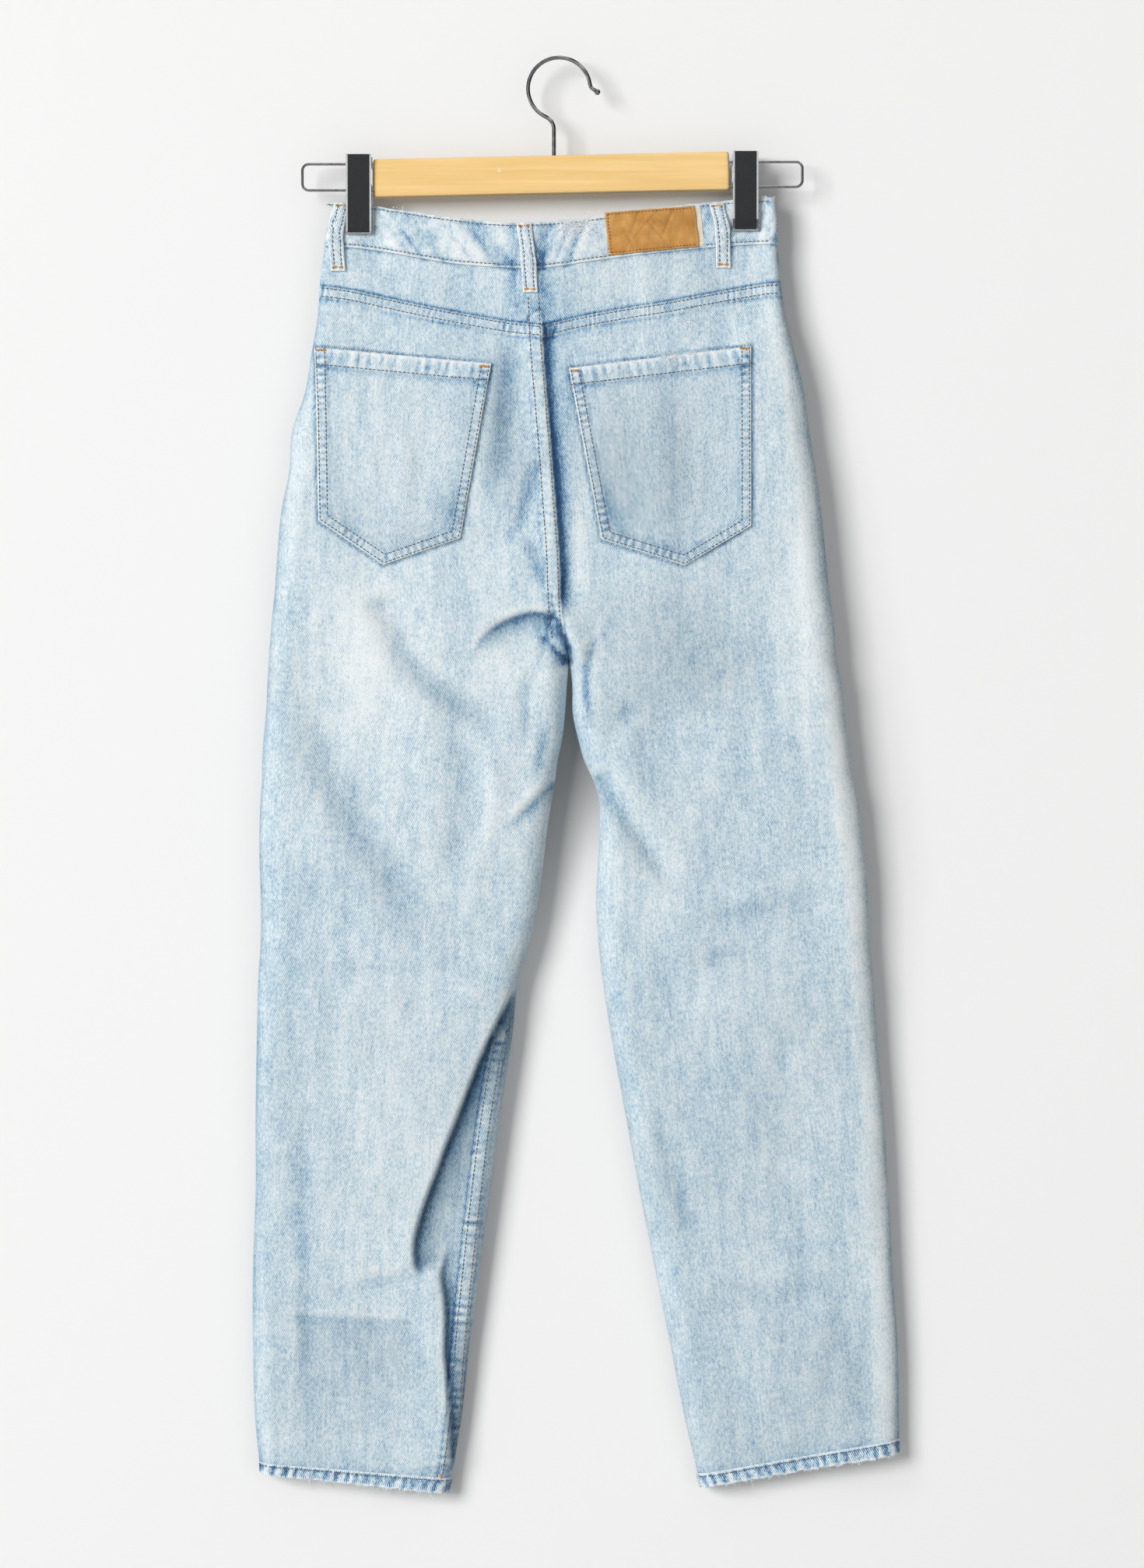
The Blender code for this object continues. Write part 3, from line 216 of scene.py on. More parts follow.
def makeBackdrop():
    drops = np.concatenate([np.linspace(-1800, 60, 20), np.linspace(70, -1000 * studio["floorZ"], 126)])[:, None]
    across = np.concatenate([[-3000], np.linspace(-200, 340, 109), [3000]])[None, :]
    x, back, drop = np.broadcast_arrays(across, smooth(wallLine["drop"], wallLine["back"], drops), drops)
    points = np.stack([x, back, -drop], -1).reshape(-1, 3) * mm
    paint = oneSided("wallPaint", studio["wallColour"], "paintedWallShadow")
    wall = flatSheet("wall", points.tolist(), paint, sheetQuads(*x.shape).tolist())
    # clear paint = (1 - painted shadow by the right leg's side) x (1 - painted shadow by the left leg's inner edge)
    bright = np.ones(x.shape)
    for edge, reach in (("rightSide", "rightReach"), ("leftInner", "leftReach")):
        off = x * paintedWallShadow["near"] - smooth(outline["drop"], outline[edge], drop)
        fade = ease(paintedWallShadow["full"] - paintedWallShadow["full"] * off / np.interp(drop, paintedWallShadow["drop"], paintedWallShadow[reach]))
        fade = fade * ease(1.5 + off / paintedWallShadow["under"])
        bright = bright * (1 - np.interp(drop, paintedWallShadow["drop"], paintedWallShadow[edge]) * fade)
    wall.data.attributes.new("paintedWallShadow", "FLOAT", "POINT").data.foreach_set("value", bright.ravel())
    wall.visible_diffuse = wall.visible_glossy = wall.visible_transmission = wall.visible_shadow = False
    corners = [(x, y, studio["floorZ"]) for x, y in ((-4, -4), (4, -4), (4, 4), (-4, 4))]
    flatSheet("floor", corners, oneSided("floorPaint", studio["floorColour"]))


makeCamera()
makeSky()
makeLight("keyLight", studio["key"])
makeLight("fillLight", studio["fill"])
bpy.context.scene.view_settings.view_transform = "Standard"
print("camera, light and backdrop made")


def ease(t):
    # 3t^2 - 2t^3 between 0 and 1
    t = np.clip(t, 0.0, 1.0)
    return t * t * (3 - 2 * t)


def quarter(t):
    # height of a quarter circle: 0 at its edge, 1 from one radius in
    return np.sqrt(np.maximum(1 - (1 - np.clip(t, 0.0, 1.0)) ** 2, 0.0))


def bell(distance, width):
    # exp(-(distance / width)^2)
    return np.exp(-(distance / width) ** 2)


def noiseField(shape, cell, seed):
    # random values on a coarse grid, eased between its points; runs from -1 to 1
    values = np.random.default_rng(seed).uniform(-1, 1, (int(shape[0] / cell[0]) + 3, int(shape[1] / cell[1]) + 3))
    at = [np.arange(shape[k]) / cell[k] for k in (0, 1)]
    i, j = at[0].astype(int), at[1].astype(int)
    u, v = ease(at[0] - i)[:, None], ease(at[1] - j)[None, :]
    top = values[i][:, j] * (1 - v) + values[i][:, j + 1] * v
    low = values[i + 1][:, j] * (1 - v) + values[i + 1][:, j + 1] * v
    return top * (1 - u) + low * u


outline = {
    "drop": (
        107, 128, 146, 167, 197, 227, 257, 287, 317, 347, 377, 407, 437, 463.5, 482, 504, 525, 542, 555,
        567, 592, 617, 647, 677, 709, 752, 812, 872, 932, 992, 1052, 1082, 1103
    ),
    "leftSide": (
        -173, -178, -181, -184, -186, -191, -196, -206, -208, -214, -217, -219, -222, -224, -225, -226,
        -228, -229, -229, -230, -231, -231, -230, -230, -232, -233, -234, -234, -236, -236, -234, -231,
        -230
    ),
    "leftInner": (
        -14, -14, -14, -14, -13, -11.5, -9, -6.5, -4, -2, 0.5, 1.5, 3.5, 7.5, 6, 4.5, 2, -1.5, -3, -5,
        -9, -12, -16, -21.5, -31, -36, -45, -53, -61, -69, -76, -81, -85
    ),
    "rightInner": (
        -14, -14, -14, -14, -13, -11.5, -9, -6.5, -4, -2, 0.5, 1.5, 3.5, 7.5, 10, 10.5, 15, 20, 26, 30,
        31, 30, 28.5, 30, 33.5, 40, 51, 62, 74, 86, 98, 105, 109
    ),
    "rightSide": (
        166, 168, 168, 170, 174, 182, 189, 193, 198, 202, 205, 208, 212, 214, 218, 220, 223, 225, 227,
        230, 233, 236, 238, 239, 242, 245, 250, 254, 257, 261, 262, 262, 262
    ),
}
# how far the cloth stands from the flat middle, and how wide its rounded edges are
stand = {
    "drop": (107, 150, 180, 230, 330, 430, 520, 650, 800, 950, 1103),
    "back": (9, 10, 11.5, 14, 17, 18, 17, 15, 13, 11.5, 10),
    "front": (9, 9, 10, 12, 14, 15, 15, 14, 12, 10.5, 9),
    "sideEdge": (5, 6, 8, 12, 17, 20, 22, 22, 20, 17, 15),
    "innerEdge": (16, 16, 16, 16, 16, 16, 16, 17, 19, 19, 16),
}
# the clips press the two waistbands together, and the waist opens between them
waistPinch = {
    "x": (-182, -168, -143, -108, -40, 20, 80, 112, 132, 155, 170),
    "depth": (4.6, 3.1, 2.9, 6, 10, 10.5, 8, 5, 2.9, 2.9, 5.5),
}
bandLine = {
    "x": (-181, -143, -113, -77, -47, -11, 22, 61, 109, 145, 169),
    "top": (109, 113, 118, 123.5, 126.5, 126.3, 123.3, 117.5, 111.3, 108, 107),
    "bottom": (144, 147.5, 153, 159, 161.5, 162, 157.5, 152, 146.5, 143.5, 143),
}
yokeLine = {
    "left": {
        "x": (-183.3, -161.1, -131.1, -101.1, -71.1, -41.1, -13.0),
        "drop": (174.8, 177.9, 184.5, 191.2, 197.1, 202.5, 206.0),
    },
    "right": {
        "x": (-13.0, 12.9, 48.9, 78.9, 108.9, 138.9, 159.9, 171.0),
        "drop": (206.0, 199.8, 192.9, 188.1, 182.3, 176.5, 173.2, 172.5),
    },
}
# how far the left inseam lies from the leg's inner edge, on its back, below the knee
twist = {
    "drop": (680, 716, 752, 800, 900, 1000, 1104),
    "width": (0, 6, 15.5, 17.5, 17, 14, 10),
}
cloth = {
    "crotch": 463.5,
    "crotchRise": 28.0,
    "pinchFrom": 137.0,
    "pinchTo": 240.0,
    "denim": 1.2,
    "band": 2.4,
    "bandProud": 0.7,
    "bandHeight": 35.0,
    "frontDip": 12.0,
    "mouthWidth": 82.0,
    "mouthHeight": 78.0,
    "mouthCurve": 2.4,
    "flyMiddle": 6.5,
    "flyUnderlap": 15.0,
    "flyOverlap": 17.0,
}


hemLine = {
    "left": {"side": 1080, "inner": 1092, "sideLow": 1088.7, "innerLow": 1104.3},
    "right": {"side": 1062, "inner": 1089, "sideLow": 1073.7, "innerLow": 1099.5},
}


def standAt(what, drop):
    return smooth(stand["drop"], stand[what], drop)


def bandAt(edge, x):
    return smooth(bandLine["x"], bandLine[edge], x)


def yokeAt(leg, x):
    return smooth(yokeLine[leg]["x"], yokeLine[leg]["drop"], x)


def fromEnds(share, size):
    # how far a share of a length lies from the nearer of its ends
    return np.minimum(share, 1 - share) * size


def sideX(leg, drop):
    return smooth(outline["drop"], outline[leg + "Side"], drop)


def innerX(leg, face, drop):
    # seat seam or centre front above the crotch, the leg's own inner edge below it
    left, right = [smooth(outline["drop"], outline[side + "Inner"], drop) for side in ("left", "right")]
    seat = (left + right) / 2
    if face == "front":
        seat = np.interp(drop, (outline["drop"][0], cloth["crotch"]), (cloth["flyMiddle"], 7.5))
    return np.where(np.asarray(drop) < cloth["crotch"], seat, left if leg == "left" else right)


def twistWidth(leg, drop):
    return smooth(twist["drop"], twist["width"], drop) if leg == "left" else np.zeros_like(drop)


def sheetQuads(rows, columns):
    # one quad between each four neighbours of a grid, facing the photo's side
    first = (np.arange(rows - 1)[:, None] * columns + np.arange(columns - 1)).ravel()
    return np.stack([first, first + columns, first + columns + 1, first + 1], axis=1)


makeBackdrop()


def frontTop(x):
    # the front waistband's upper edge dips between the sides
    left, right = sideX("left", 107.0), sideX("right", 107.0)
    dip = cloth["frontDip"] * np.sin(math.pi * np.clip((x - left) / (right - left), 0, 1)) ** 1.5
    return bandAt("top", x) + dip


def mouthWidth(along):
    # the hand pocket's mouth narrows from the waistband, 0, to its end at the side, 1
    return cloth["mouthWidth"] * (1 - np.clip(along, 0, 1) ** cloth["mouthCurve"])


mapFrom, mapTo, mapStep = (-248.0, 98.0), (278.0, 1114.0), 1.0
mapX = np.arange(mapFrom[0], mapTo[0], mapStep)
mapDrop = np.arange(mapFrom[1], mapTo[1], mapStep)
gridX, gridDrop = np.meshgrid(mapX, mapDrop)
# per layer: relief height, wash from deep blue, 0, to white, 1, and shade, which is painted shade with some grey tint
height = {layer: np.zeros(gridX.shape) for layer in ("back", "front", "pocket")}
wash = {layer: np.full(gridX.shape, 0.70) for layer in ("back", "front", "pocket")}
shade = {layer: np.zeros(gridX.shape) for layer in ("back", "front", "pocket")}


def sample(field, x, drop):
    # value of a map between its four nearest points
    u = np.clip((np.asarray(x) - mapX[0]) / mapStep, 0, len(mapX) - 1.001)
    v = np.clip((np.asarray(drop) - mapDrop[0]) / mapStep, 0, len(mapDrop) - 1.001)
    i, j = v.astype(int), u.astype(int)
    s, t = v - i, u - j
    above, below = [field[k, j] * (1 - t) + field[k, j + 1] * t for k in (i, i + 1)]
    return above * (1 - s) + below * s


def lengthAlong(line):
    # distance from the line's first point to each of its points
    return np.concatenate([[0], np.cumsum(np.linalg.norm(np.diff(line, axis=0), axis=-1))])


def pointsAt(at, far, line):
    # points of a line at given lengths along it
    return np.stack([np.interp(at, far, line[:, k]) for k in (0, 1)], axis=-1)


def curve(path, step=None, straight=False):
    # smooth line through a few points, as many points again between each two of them
    path = np.asarray(path, float)
    marks = np.arange(len(path))
    if straight:
        fine = marks.astype(float)
    else:
        fine = np.linspace(0, len(path) - 1, 1 + 8 * (len(path) - 1))
    line = np.stack([smooth(marks, path[:, k], fine) if not straight else path[:, k] for k in (0, 1)], axis=1)
    if step:
        far = lengthAlong(line)
        at = np.linspace(0, far[-1], max(2, int(far[-1] / step)))
        line = pointsAt(at, far, line)
    return line


def nearLine(path, reach, straight=False):
    # the map's window round a line: distance from it, positive on the photo's left of a line that
    # runs down, length along it, and share of that length
    line = curve(path, straight=straight)
    low, high = line.min(0) - reach, line.max(0) + reach
    rows = slice(max(int((low[1] - mapDrop[0]) / mapStep), 0), int((high[1] - mapDrop[0]) / mapStep) + 2)
    cols = slice(max(int((low[0] - mapX[0]) / mapStep), 0), int((high[0] - mapX[0]) / mapStep) + 2)
    x, drop = gridX[rows, cols], gridDrop[rows, cols]
    nearest = np.full(x.shape, np.inf)
    signed, along = np.zeros(x.shape), np.zeros(x.shape)
    done = 0.0
    for (x0, d0), (x1, d1) in zip(line[:-1], line[1:]):
        dx, dd = x1 - x0, d1 - d0
        length = math.hypot(dx, dd)
        t = np.clip(((x - x0) * dx + (drop - d0) * dd) / length ** 2, 0, 1)
        awayX, awayD = x - x0 - t * dx, drop - d0 - t * dd
        distance = np.hypot(awayX, awayD)
        closer = distance < nearest
        nearest = np.where(closer, distance, nearest)
        signed = np.where(closer, np.where(dx * awayD - dd * awayX >= 0, distance, -distance), signed)
        along = np.where(closer, done + t * length, along)
        done += length
    return rows, cols, signed, along, along / done


# step: half the height between a fold's two sides, the photo's left one high as it runs down;
# ridge: height of a crest or depth of a trough along it; blue: how much bluer its low side is, partly kept dye and
# partly painted shade;
# dim, reach: how dark the painted shade on its low side is, and how far that goes
Fold = namedtuple("Fold", "face step ridge sharp high low fadeIn fadeOut blue dim reach path")
folds = [
    # beside the seat seam, and down to the crotch
    Fold("back", 2.0, 0, 3, 16, 12, 0.06, 0.1, 0.46, 0.42, 5,
         [(-13, 200), (-10, 250), (-7, 290), (0, 374), (1, 410), (3, 434)]),
    Fold("back", 0, -1.6, 9, 12, 12, 0.2, 0.4, 0.10, 0.20, 13, [(-38, 214), (-42, 262), (-44, 314), (-56, 345)]),
    Fold("back", 0, -1.4, 6, 8, 8, 0.3, 0.4, 0.12, 0.14, 8, [(-14, 300), (-26, 340), (-36, 380)]),
    Fold("back", 0, -1.2, 5, 8, 8, 0.3, 0.4, 0.14, 0.14, 7, [(-23, 366), (-17, 392), (-9, 412)]),
    # lip across the left thigh's top, and the recess below it
    Fold("back", 2.4, 0, 1.8, 34, 26, 0.04, 0.6, 0.24, 0.36, 11,
         [(-3, 429), (-12, 427), (-22, 426.5), (-38, 431), (-50, 438), (-60, 447), (-67, 459), (-70, 468)]),
    Fold("back", -1.3, 0, 2.6, 12, 12, 0.2, 0.1, 0.30, 0.20, 6, [(-17, 444), (-8, 446), (0, 455), (9, 465)]),
    Fold("back", -2.6, 0, 2.4, 10, 16, 0.3, 0.1, 0.22, 0.20, 5,
         [(-4, 404), (-3, 425), (2, 435), (6, 446), (10, 456), (11, 470)]),
    Fold("back", 0, -1.6, 4, 8, 8, 0.3, 0.4, 0.05, 0.16, 5, [(22, 436), (27, 450), (21, 470), (22, 500), (30, 524)]),
    # creases over the left thigh
    Fold("back", 1.3, -1.8, 3.0, 18, 14, 0.04, 0.6, 0.12, 0.30, 7, [(-3, 555), (-12, 565), (-24, 577), (-47, 598)]),
    Fold("back", 0, -3.0, 12, 30, 30, 0.1, 0.3, 0.05, 0.22, 12,
         [(-140, 408), (-129, 440), (-108, 474), (-71, 502), (-40, 520)]),
    Fold("back", 0, -3.0, 15, 30, 30, 0.3, 0.3, 0.04, 0.15, 17,
         [(-192, 480), (-178, 545), (-146, 604), (-116, 650), (-104, 690)]),
    Fold("back", 0, -2.0, 12, 30, 30, 0.3, 0.3, 0.02, 0.09, 13, [(-100, 500), (-76, 540), (-74, 590), (-90, 640)]),
    Fold("back", 0, -1.1, 7, 10, 10, 0.3, 0.4, 0.09, 0.07, 7, [(-24, 459), (-25, 490), (-28, 544)]),
    Fold("back", 0, -1.0, 5, 8, 8, 0.3, 0.4, 0.12, 0.06, 5, [(-10, 512), (-15, 540), (-17, 566)]),
    Fold("back", 0, 1.6, 8, 12, 12, 0.3, 0.4, 0, 0, 4, [(-60, 520), (-50, 570), (-66, 640)]),
    # the left inseam's twist: the panel laps over, and the leg behind it is darkened with painted shade
    Fold("back", 3.8, 0, 1.5, 70, 24, 0.10, 0.06, 0.12, 0.76, 15,
         [(-33, 712), (-41, 728), (-53, 752), (-61, 770), (-68, 788), (-75, 806), (-82, 824), (-88, 839), (-94, 856),
          (-101, 874), (-107, 892), (-111, 908), (-111.5, 920), (-108, 938)]),
    Fold("back", 2.8, 0, 1.5, 24, 14, 0.25, 0.04, 0.12, 0.72, 8,
         [(-85, 902), (-88, 921), (-91, 936), (-88.5, 952), (-87.5, 972), (-88, 995), (-86, 1016), (-84.5, 1040),
          (-84, 1066), (-83, 1086)]),
    # creases over the right thigh and behind its knee
    Fold("back", -0.6, -2.2, 8, 24, 24, 0.08, 0.4, 0.12, 0.30, 10, [(29, 545), (52, 583), (84, 630), (98, 646)]),
    Fold("back", -0.8, -0.8, 8, 16, 16, 0.3, 0.4, 0.04, 0.15, 10, [(62, 496), (48, 512), (38, 532)]),
    Fold("back", 0, -0.8, 9, 14, 14, 0.3, 0.4, 0.02, 0.09, 9, [(60, 505), (66, 540), (69, 575)]),
    Fold("back", -0.7, -0.7, 8, 16, 16, 0.4, 0.4, 0.05, 0.12, 11, [(86, 668), (120, 656), (160, 648), (228, 630)]),
    Fold("back", 0, -0.7, 7, 12, 12, 0.4, 0.4, 0.03, 0.07, 8, [(94, 697), (120, 692), (148, 684)]),
    Fold("back", 0, -1.2, 9, 14, 14, 0.3, 0.3, 0.04, 0.08, 6, [(70, 800), (88, 860), (107, 921)]),
    Fold("back", 0, -0.8, 12, 14, 14, 0.4, 0.4, 0.02, 0.06, 12, [(98, 940), (160, 952), (236, 936)]),
    Fold("back", 0, 0.6, 9, 12, 12, 0.3, 0.3, 0, 0, 4, [(100, 926), (150, 934), (220, 920)]),
    Fold("back", 0, -0.9, 8, 12, 12, 0.3, 0.3, 0.05, 0.07, 7, [(-196, 780), (-197, 890), (-195, 960), (-194, 1082)]),
    Fold("back", 0.5, 0, 2.5, 14, 30, 0.12, 0.12, 0.05, 0.13, 50, [(-108, 970), (-150, 968), (-206, 965)]),
    Fold("back", 0, -0.5, 8, 12, 12, 0.3, 0.3, 0.02, 0.03, 6, [(-222, 696), (-150, 700), (-60, 694)]),
    Fold("back", 0, -1.0, 8, 12, 12, 0.2, 0.3, 0.06, 0.05, 8, [(170, 196), (182, 250), (193, 330), (206, 430)]),
]
# troughs of the hidden front, one a leg
for troughs, paths in {
    (0, -2.6, 12, 18, 18, 0.1, 0.4, 0.04, 0.12, 10): [
        [(0, 452), (-45, 420), (-120, 395)], [(16, 452), (60, 424), (130, 404)]],
    (0, -2.0, 10, 16, 16, 0.1, 0.4, 0.03, 0.10, 9): [
        [(-4, 500), (-60, 478), (-120, 470)], [(18, 520), (70, 506), (125, 512)]],
    (0, -1.8, 9, 14, 14, 0.3, 0.3, 0.02, 0.10, 9): [
        [(-60, 700), (-110, 684), (-170, 690)], [(80, 690), (130, 706), (190, 700)]],
    (0, -1.8, 10, 16, 16, 0.3, 0.1, 0.02, 0.08, 9): [
        [(-150, 800), (-140, 930), (-150, 1082)], [(150, 790), (170, 920), (180, 1070)]],
}.items():
    folds += [Fold("front", *troughs, path) for path in paths]


def addFolds():
    # step x tanh(distance / sharp) x exp(-(distance / width)^2) + ridge x exp(-(distance / sharp)^2)
    for fold in folds:
        rows, cols, d, _, share = nearLine(fold.path, 2.2 * max(fold.high, fold.low, fold.sharp, fold.reach))
        fade = ease(share / fold.fadeIn) * ease((1 - share) / fold.fadeOut)
        width = np.where(d > 0, fold.high, fold.low)
        step = fold.step * np.tanh(d / fold.sharp) * bell(d, width)
        height[fold.face][rows, cols] += fade * (step + fold.ridge * bell(d, fold.sharp))
        if fold.step:
            # painted shade from the edge on, fading out over the low side, where the wash is bluer too
            low = -d * math.copysign(1.0, fold.step)
            side = ease(low / (1.6 * fold.sharp) + 0.35) * np.exp(-(np.maximum(low - 1.5, 0) / fold.reach) ** 1.5)
            crest = bell(low + 1.3 * fold.sharp, 1.2 * fold.sharp)
        else:
            side, crest = bell(d, fold.reach), 0.0
        wash[fold.face][rows, cols] += fade * fold.blue * (0.1 * crest - side)
        shade[fold.face][rows, cols] += fade * fold.dim * side


# strip: a felled seam's double cloth, from one distance of its line to another, drawn up by its
# thread into puckers that are white on top and keep their dye between
Strip = namedtuple("Strip", "layer low high rise pitch pucker contrast path")


def yokePath(leg, below=0.0):
    # the yoke's seam, so far below it
    table = yokeLine[leg]
    return [(x, d + below) for x, d in zip(table["x"], table["drop"])]


def seatPath(top, low, count=9):
    # the seat seam between two drops
    drops = np.linspace(top, low, count)
    return [(float(innerX("left", "back", d)), float(d)) for d in drops]


def inseamPath(top, low, share, count=9):
    # share 0 is the twisted inseam's own edge, 1 is the leg's inner edge
    drops = np.linspace(top, low, count)
    edge, width = innerX("left", "back", drops), twistWidth("left", drops)
    return [(float(e - w * (1 - share)), float(d)) for e, w, d in zip(edge, width, drops)]


backPockets = {
    "left": {"outerTop": (-187.0, 223.5), "innerTop": (-52.0, 236.0), "innerLow": (-75.5, 370.0),
             "tip": (-134.5, 390.5), "outerLow": (-184.5, 356.5)},
    "right": {"outerTop": (147.5, 222.5), "innerTop": (7.5, 239.5), "innerLow": (32.5, 371.0),
              "tip": (96.5, 391.0), "outerLow": (147.5, 360.5)},
}
pocketSpec = {"wide": 130.0, "tall": 145.0, "tipAt": 0.45, "band": 13.0, "rowIn": (1.5, 7.2), "lift": 0.3}


def pocketEdge(leg, corners=("innerTop", "outerTop", "outerLow", "tip", "innerLow", "innerTop")):
    return [backPockets[leg][name] for name in corners]


def addStrips():
    strips = [
        Strip("back", 0.4, 9.9, 0.5, 4.6, 0.20, 0.17, yokePath("left")),
        Strip("back", 0.4, 9.9, 0.5, 4.2, 0.26, 0.26, yokePath("right")),
        Strip("back", 0.3, 11.6, 0.7, 6.2, 0.16, 0.15, seatPath(206, 447)),
        Strip("back", -11.6, -0.5, 0.6, 7.0, 0.32, 0.34, inseamPath(752, 1090, 0.0)),
    ]
    for strip in strips:
        reach = max(abs(strip.low), abs(strip.high)) + 12
        rows, cols, d, along, _ = nearLine(strip.path, reach)
        inside = ease((d - strip.low) / 0.9 + 0.5) * ease((strip.high - d) / 0.9 + 0.5)
        outside = np.maximum(np.maximum(strip.low - d, d - strip.high), 0.0)
        reachOut = inside + 0.55 * (1 - inside) * bell(outside, 3.5)
        uneven = 0.75 + 0.6 * noiseField((900, 1), (9, 1), 17)[along.astype(int), 0]
        wave = puckerWave(along, strip.pitch, 0.12 * d) * uneven
        height[strip.layer][rows, cols] += strip.rise * inside + strip.pucker * wave * reachOut
        wash[strip.layer][rows, cols] += strip.contrast * wave * reachOut - 0.10 * inside
        edge = np.minimum(np.abs(d - strip.low), np.abs(d - strip.high))
        wash[strip.layer][rows, cols] += 0.20 * bell(edge, 0.9) * inside
        # painted shadow: a dark line just outside the strip's edges
        wash[strip.layer][rows, cols] -= 0.34 * bell(outside, 1.5) * (1 - inside)
    # the twisted inseam's strip stands out of the pleat's painted shade
    rows, cols, d, _, _ = nearLine(inseamPath(752, 1096, 0.0), 30)
    down = gridDrop[rows, cols]
    clear = ease(0.5 - d) * (0.85 * ease((down - 775) / 50) - 0.4 * ease((down - 955) / 30))
    shade["back"][rows, cols] *= 1 - clear
    # just above the hems the cloth kept its dye in blotches
    for leg in ("left", "right"):
        line = hemLine[leg]
        for face in ("back", "front"):
            ends = [(float(at), line[end]) for at, end in (
                (sideX(leg, line["side"]), "side"), (innerX(leg, face, line["inner"]), "inner"))]
            rows, cols, d, along, _ = nearLine(ends, 14, True)
            above = -d * legSign[leg]
            wave = puckerWave(along, 9.5, 0.3 * d)
            wash[face][rows, cols] -= (0.10 + 0.30 * np.maximum(wave, 0)) * bell(np.maximum(above, 0), 3.2)
            height[face][rows, cols] += 0.22 * wave * bell(above, 5.0)


def puckerWave(along, pitch, skew=0.0):
    # sine of the length along the seam, its pitch made uneven by two slower waves
    uneven = 1.3 * np.sin(along / 17.3 + 1.0) + 0.9 * np.sin(along / 7.1) + 0.5 * np.sin(along / 3.3 + 2.0)
    wave = np.sin(2 * math.pi * along / pitch + uneven + skew)
    return wave * (0.65 + 0.35 * np.sin(along / 11.0 + uneven))


# zones rubbed nearly white, or left bluer below zero, some of them painted light and painted shade instead: x, drop,
# half width, half height, amount
zones = {
    "back": [
        (-146, 470, 38, 70, 0.20), (-150, 424, 22, 26, 0.12), (-146, 464, 16, 30, 0.08), (192, 494, 18, 40, 0.06),
        (-70, 600, 60, 60, 0.08), (-64, 330, 9, 70, 0.08), (150, 720, 50, 50, 0.04),
        (-42, 398, 17, 30, 0.13), (-44, 474, 24, 26, 0.20), (-34, 560, 14, 40, 0.08), (14, 390, 8, 56, 0.14),
        # the first three here: painted light, paler where the right leg's side turns from the lamp
        (190, 400, 24, 110, 0.17), (222, 560, 16, 100, 0.12), (246, 800, 16, 180, 0.10), (-143, 850, 34, 110, 0.10),
        # the last two here: painted shade, bluer, in the recess under the left thigh's lip
        (84, 168, 66, 20, 0.08), (-197, 340, 16, 50, 0.10), (-8, 441, 11, 6, -0.34), (6, 455, 6, 8, -0.3),
        (-118, 170, 50, 14, -0.03), (60, 640, 26, 60, 0.05), (-96, 760, 40, 60, 0.05), (78, 640, 8, 30, 0.08),
        (-100, 160, 70, 26, 0.05), (90, 430, 60, 50, 0.03), (-208, 300, 14, 80, 0.06),
        (-15, 400, 26, 24, -0.05), (5, 560, 8, 60, -0.16), (14, 520, 8, 60, -0.08), (-2, 190, 12, 26, -0.16),
        (202, 420, 7, 90, -0.16), (-60, 1010, 12, 70, -0.08), (-40, 640, 14, 90, -0.04), (5, 300, 8, 90, -0.16),
        # the first two here: painted shadow, bluer, beside the middle belt loop
        (-35, 158, 5, 26, -0.30), (-14, 160, 6, 30, -0.32), (-20, 192, 14, 12, -0.16), (-160, 152, 12, 10, -0.10),
        (110, 156, 10, 12, -0.14),
        (136, 150, 10, 12, -0.10), (20, 220, 12, 24, -0.10),
    ],
    "front": [
        (-110, 420, 70, 110, 0.10), (100, 420, 70, 110, 0.10), (-130, 700, 70, 90, 0.08), (130, 700, 70, 90, 0.08),
        (7, 300, 16, 110, -0.12), (-60, 900, 60, 90, -0.03), (120, 930, 60, 90, -0.03),
    ],
    "pocket": [
        (-125, 300, 40, 50, 0.10), (-82, 345, 14, 16, -0.16), (42, 352, 12, 14, -0.16), (90, 380, 40, 10, -0.10),
        (-178, 236, 8, 12, -0.14), (140, 236, 7, 14, -0.14), (-62, 246, 10, 9, -0.12), (20, 250, 10, 9, -0.12),
    ],
}
# soft patches added to the shade map, the same way: a grey tint over the thighs, and painted shade in seam valleys,
# recesses and under the pleat
greyTintAndShadeZones = {
    "back": [
        (90, 448, 54, 58, 0.20), (60, 500, 26, 24, 0.12), (118, 480, 30, 30, 0.10), (165, 768, 28, 70, 0.10),
        (-45, 290, 17, 46, 0.20), (-150, 1000, 40, 40, 0.04), (160, 1000, 70, 100, 0.05), (222, 1014, 26, 48, 0.12),
        (10, 300, 14, 90, 0.14), (-14, 152, 6, 26, 0.22), (-206, 494, 18, 60, 0.12), (120, 690, 34, 26, 0.07),
        (100, 560, 70, 40, 0.04),
        (-60, 860, 20, 110, 0.22), (-74, 1040, 9, 60, 0.50), (85, 300, 50, 90, 0.05), (-90, 760, 80, 60, 0.02),
    ],
    "front": [(-20, 430, 60, 30, 0.10), (40, 430, 60, 30, 0.10), (-60, 900, 50, 160, 0.06), (110, 900, 50, 160, 0.06)],
    "pocket": [
        (88, 318, 10, 62, 0.22), (50, 320, 22, 70, 0.14), (84, 310, 50, 80, 0.12), (-113, 316, 7, 44, 0.14),
        (-165, 352, 18, 20, 0.10), (-70, 300, 9, 60, 0.12),
        (-105, 372, 30, 12, 0.12), (30, 330, 14, 50, 0.12), (-85, 350, 14, 20, 0.12),
    ],
}


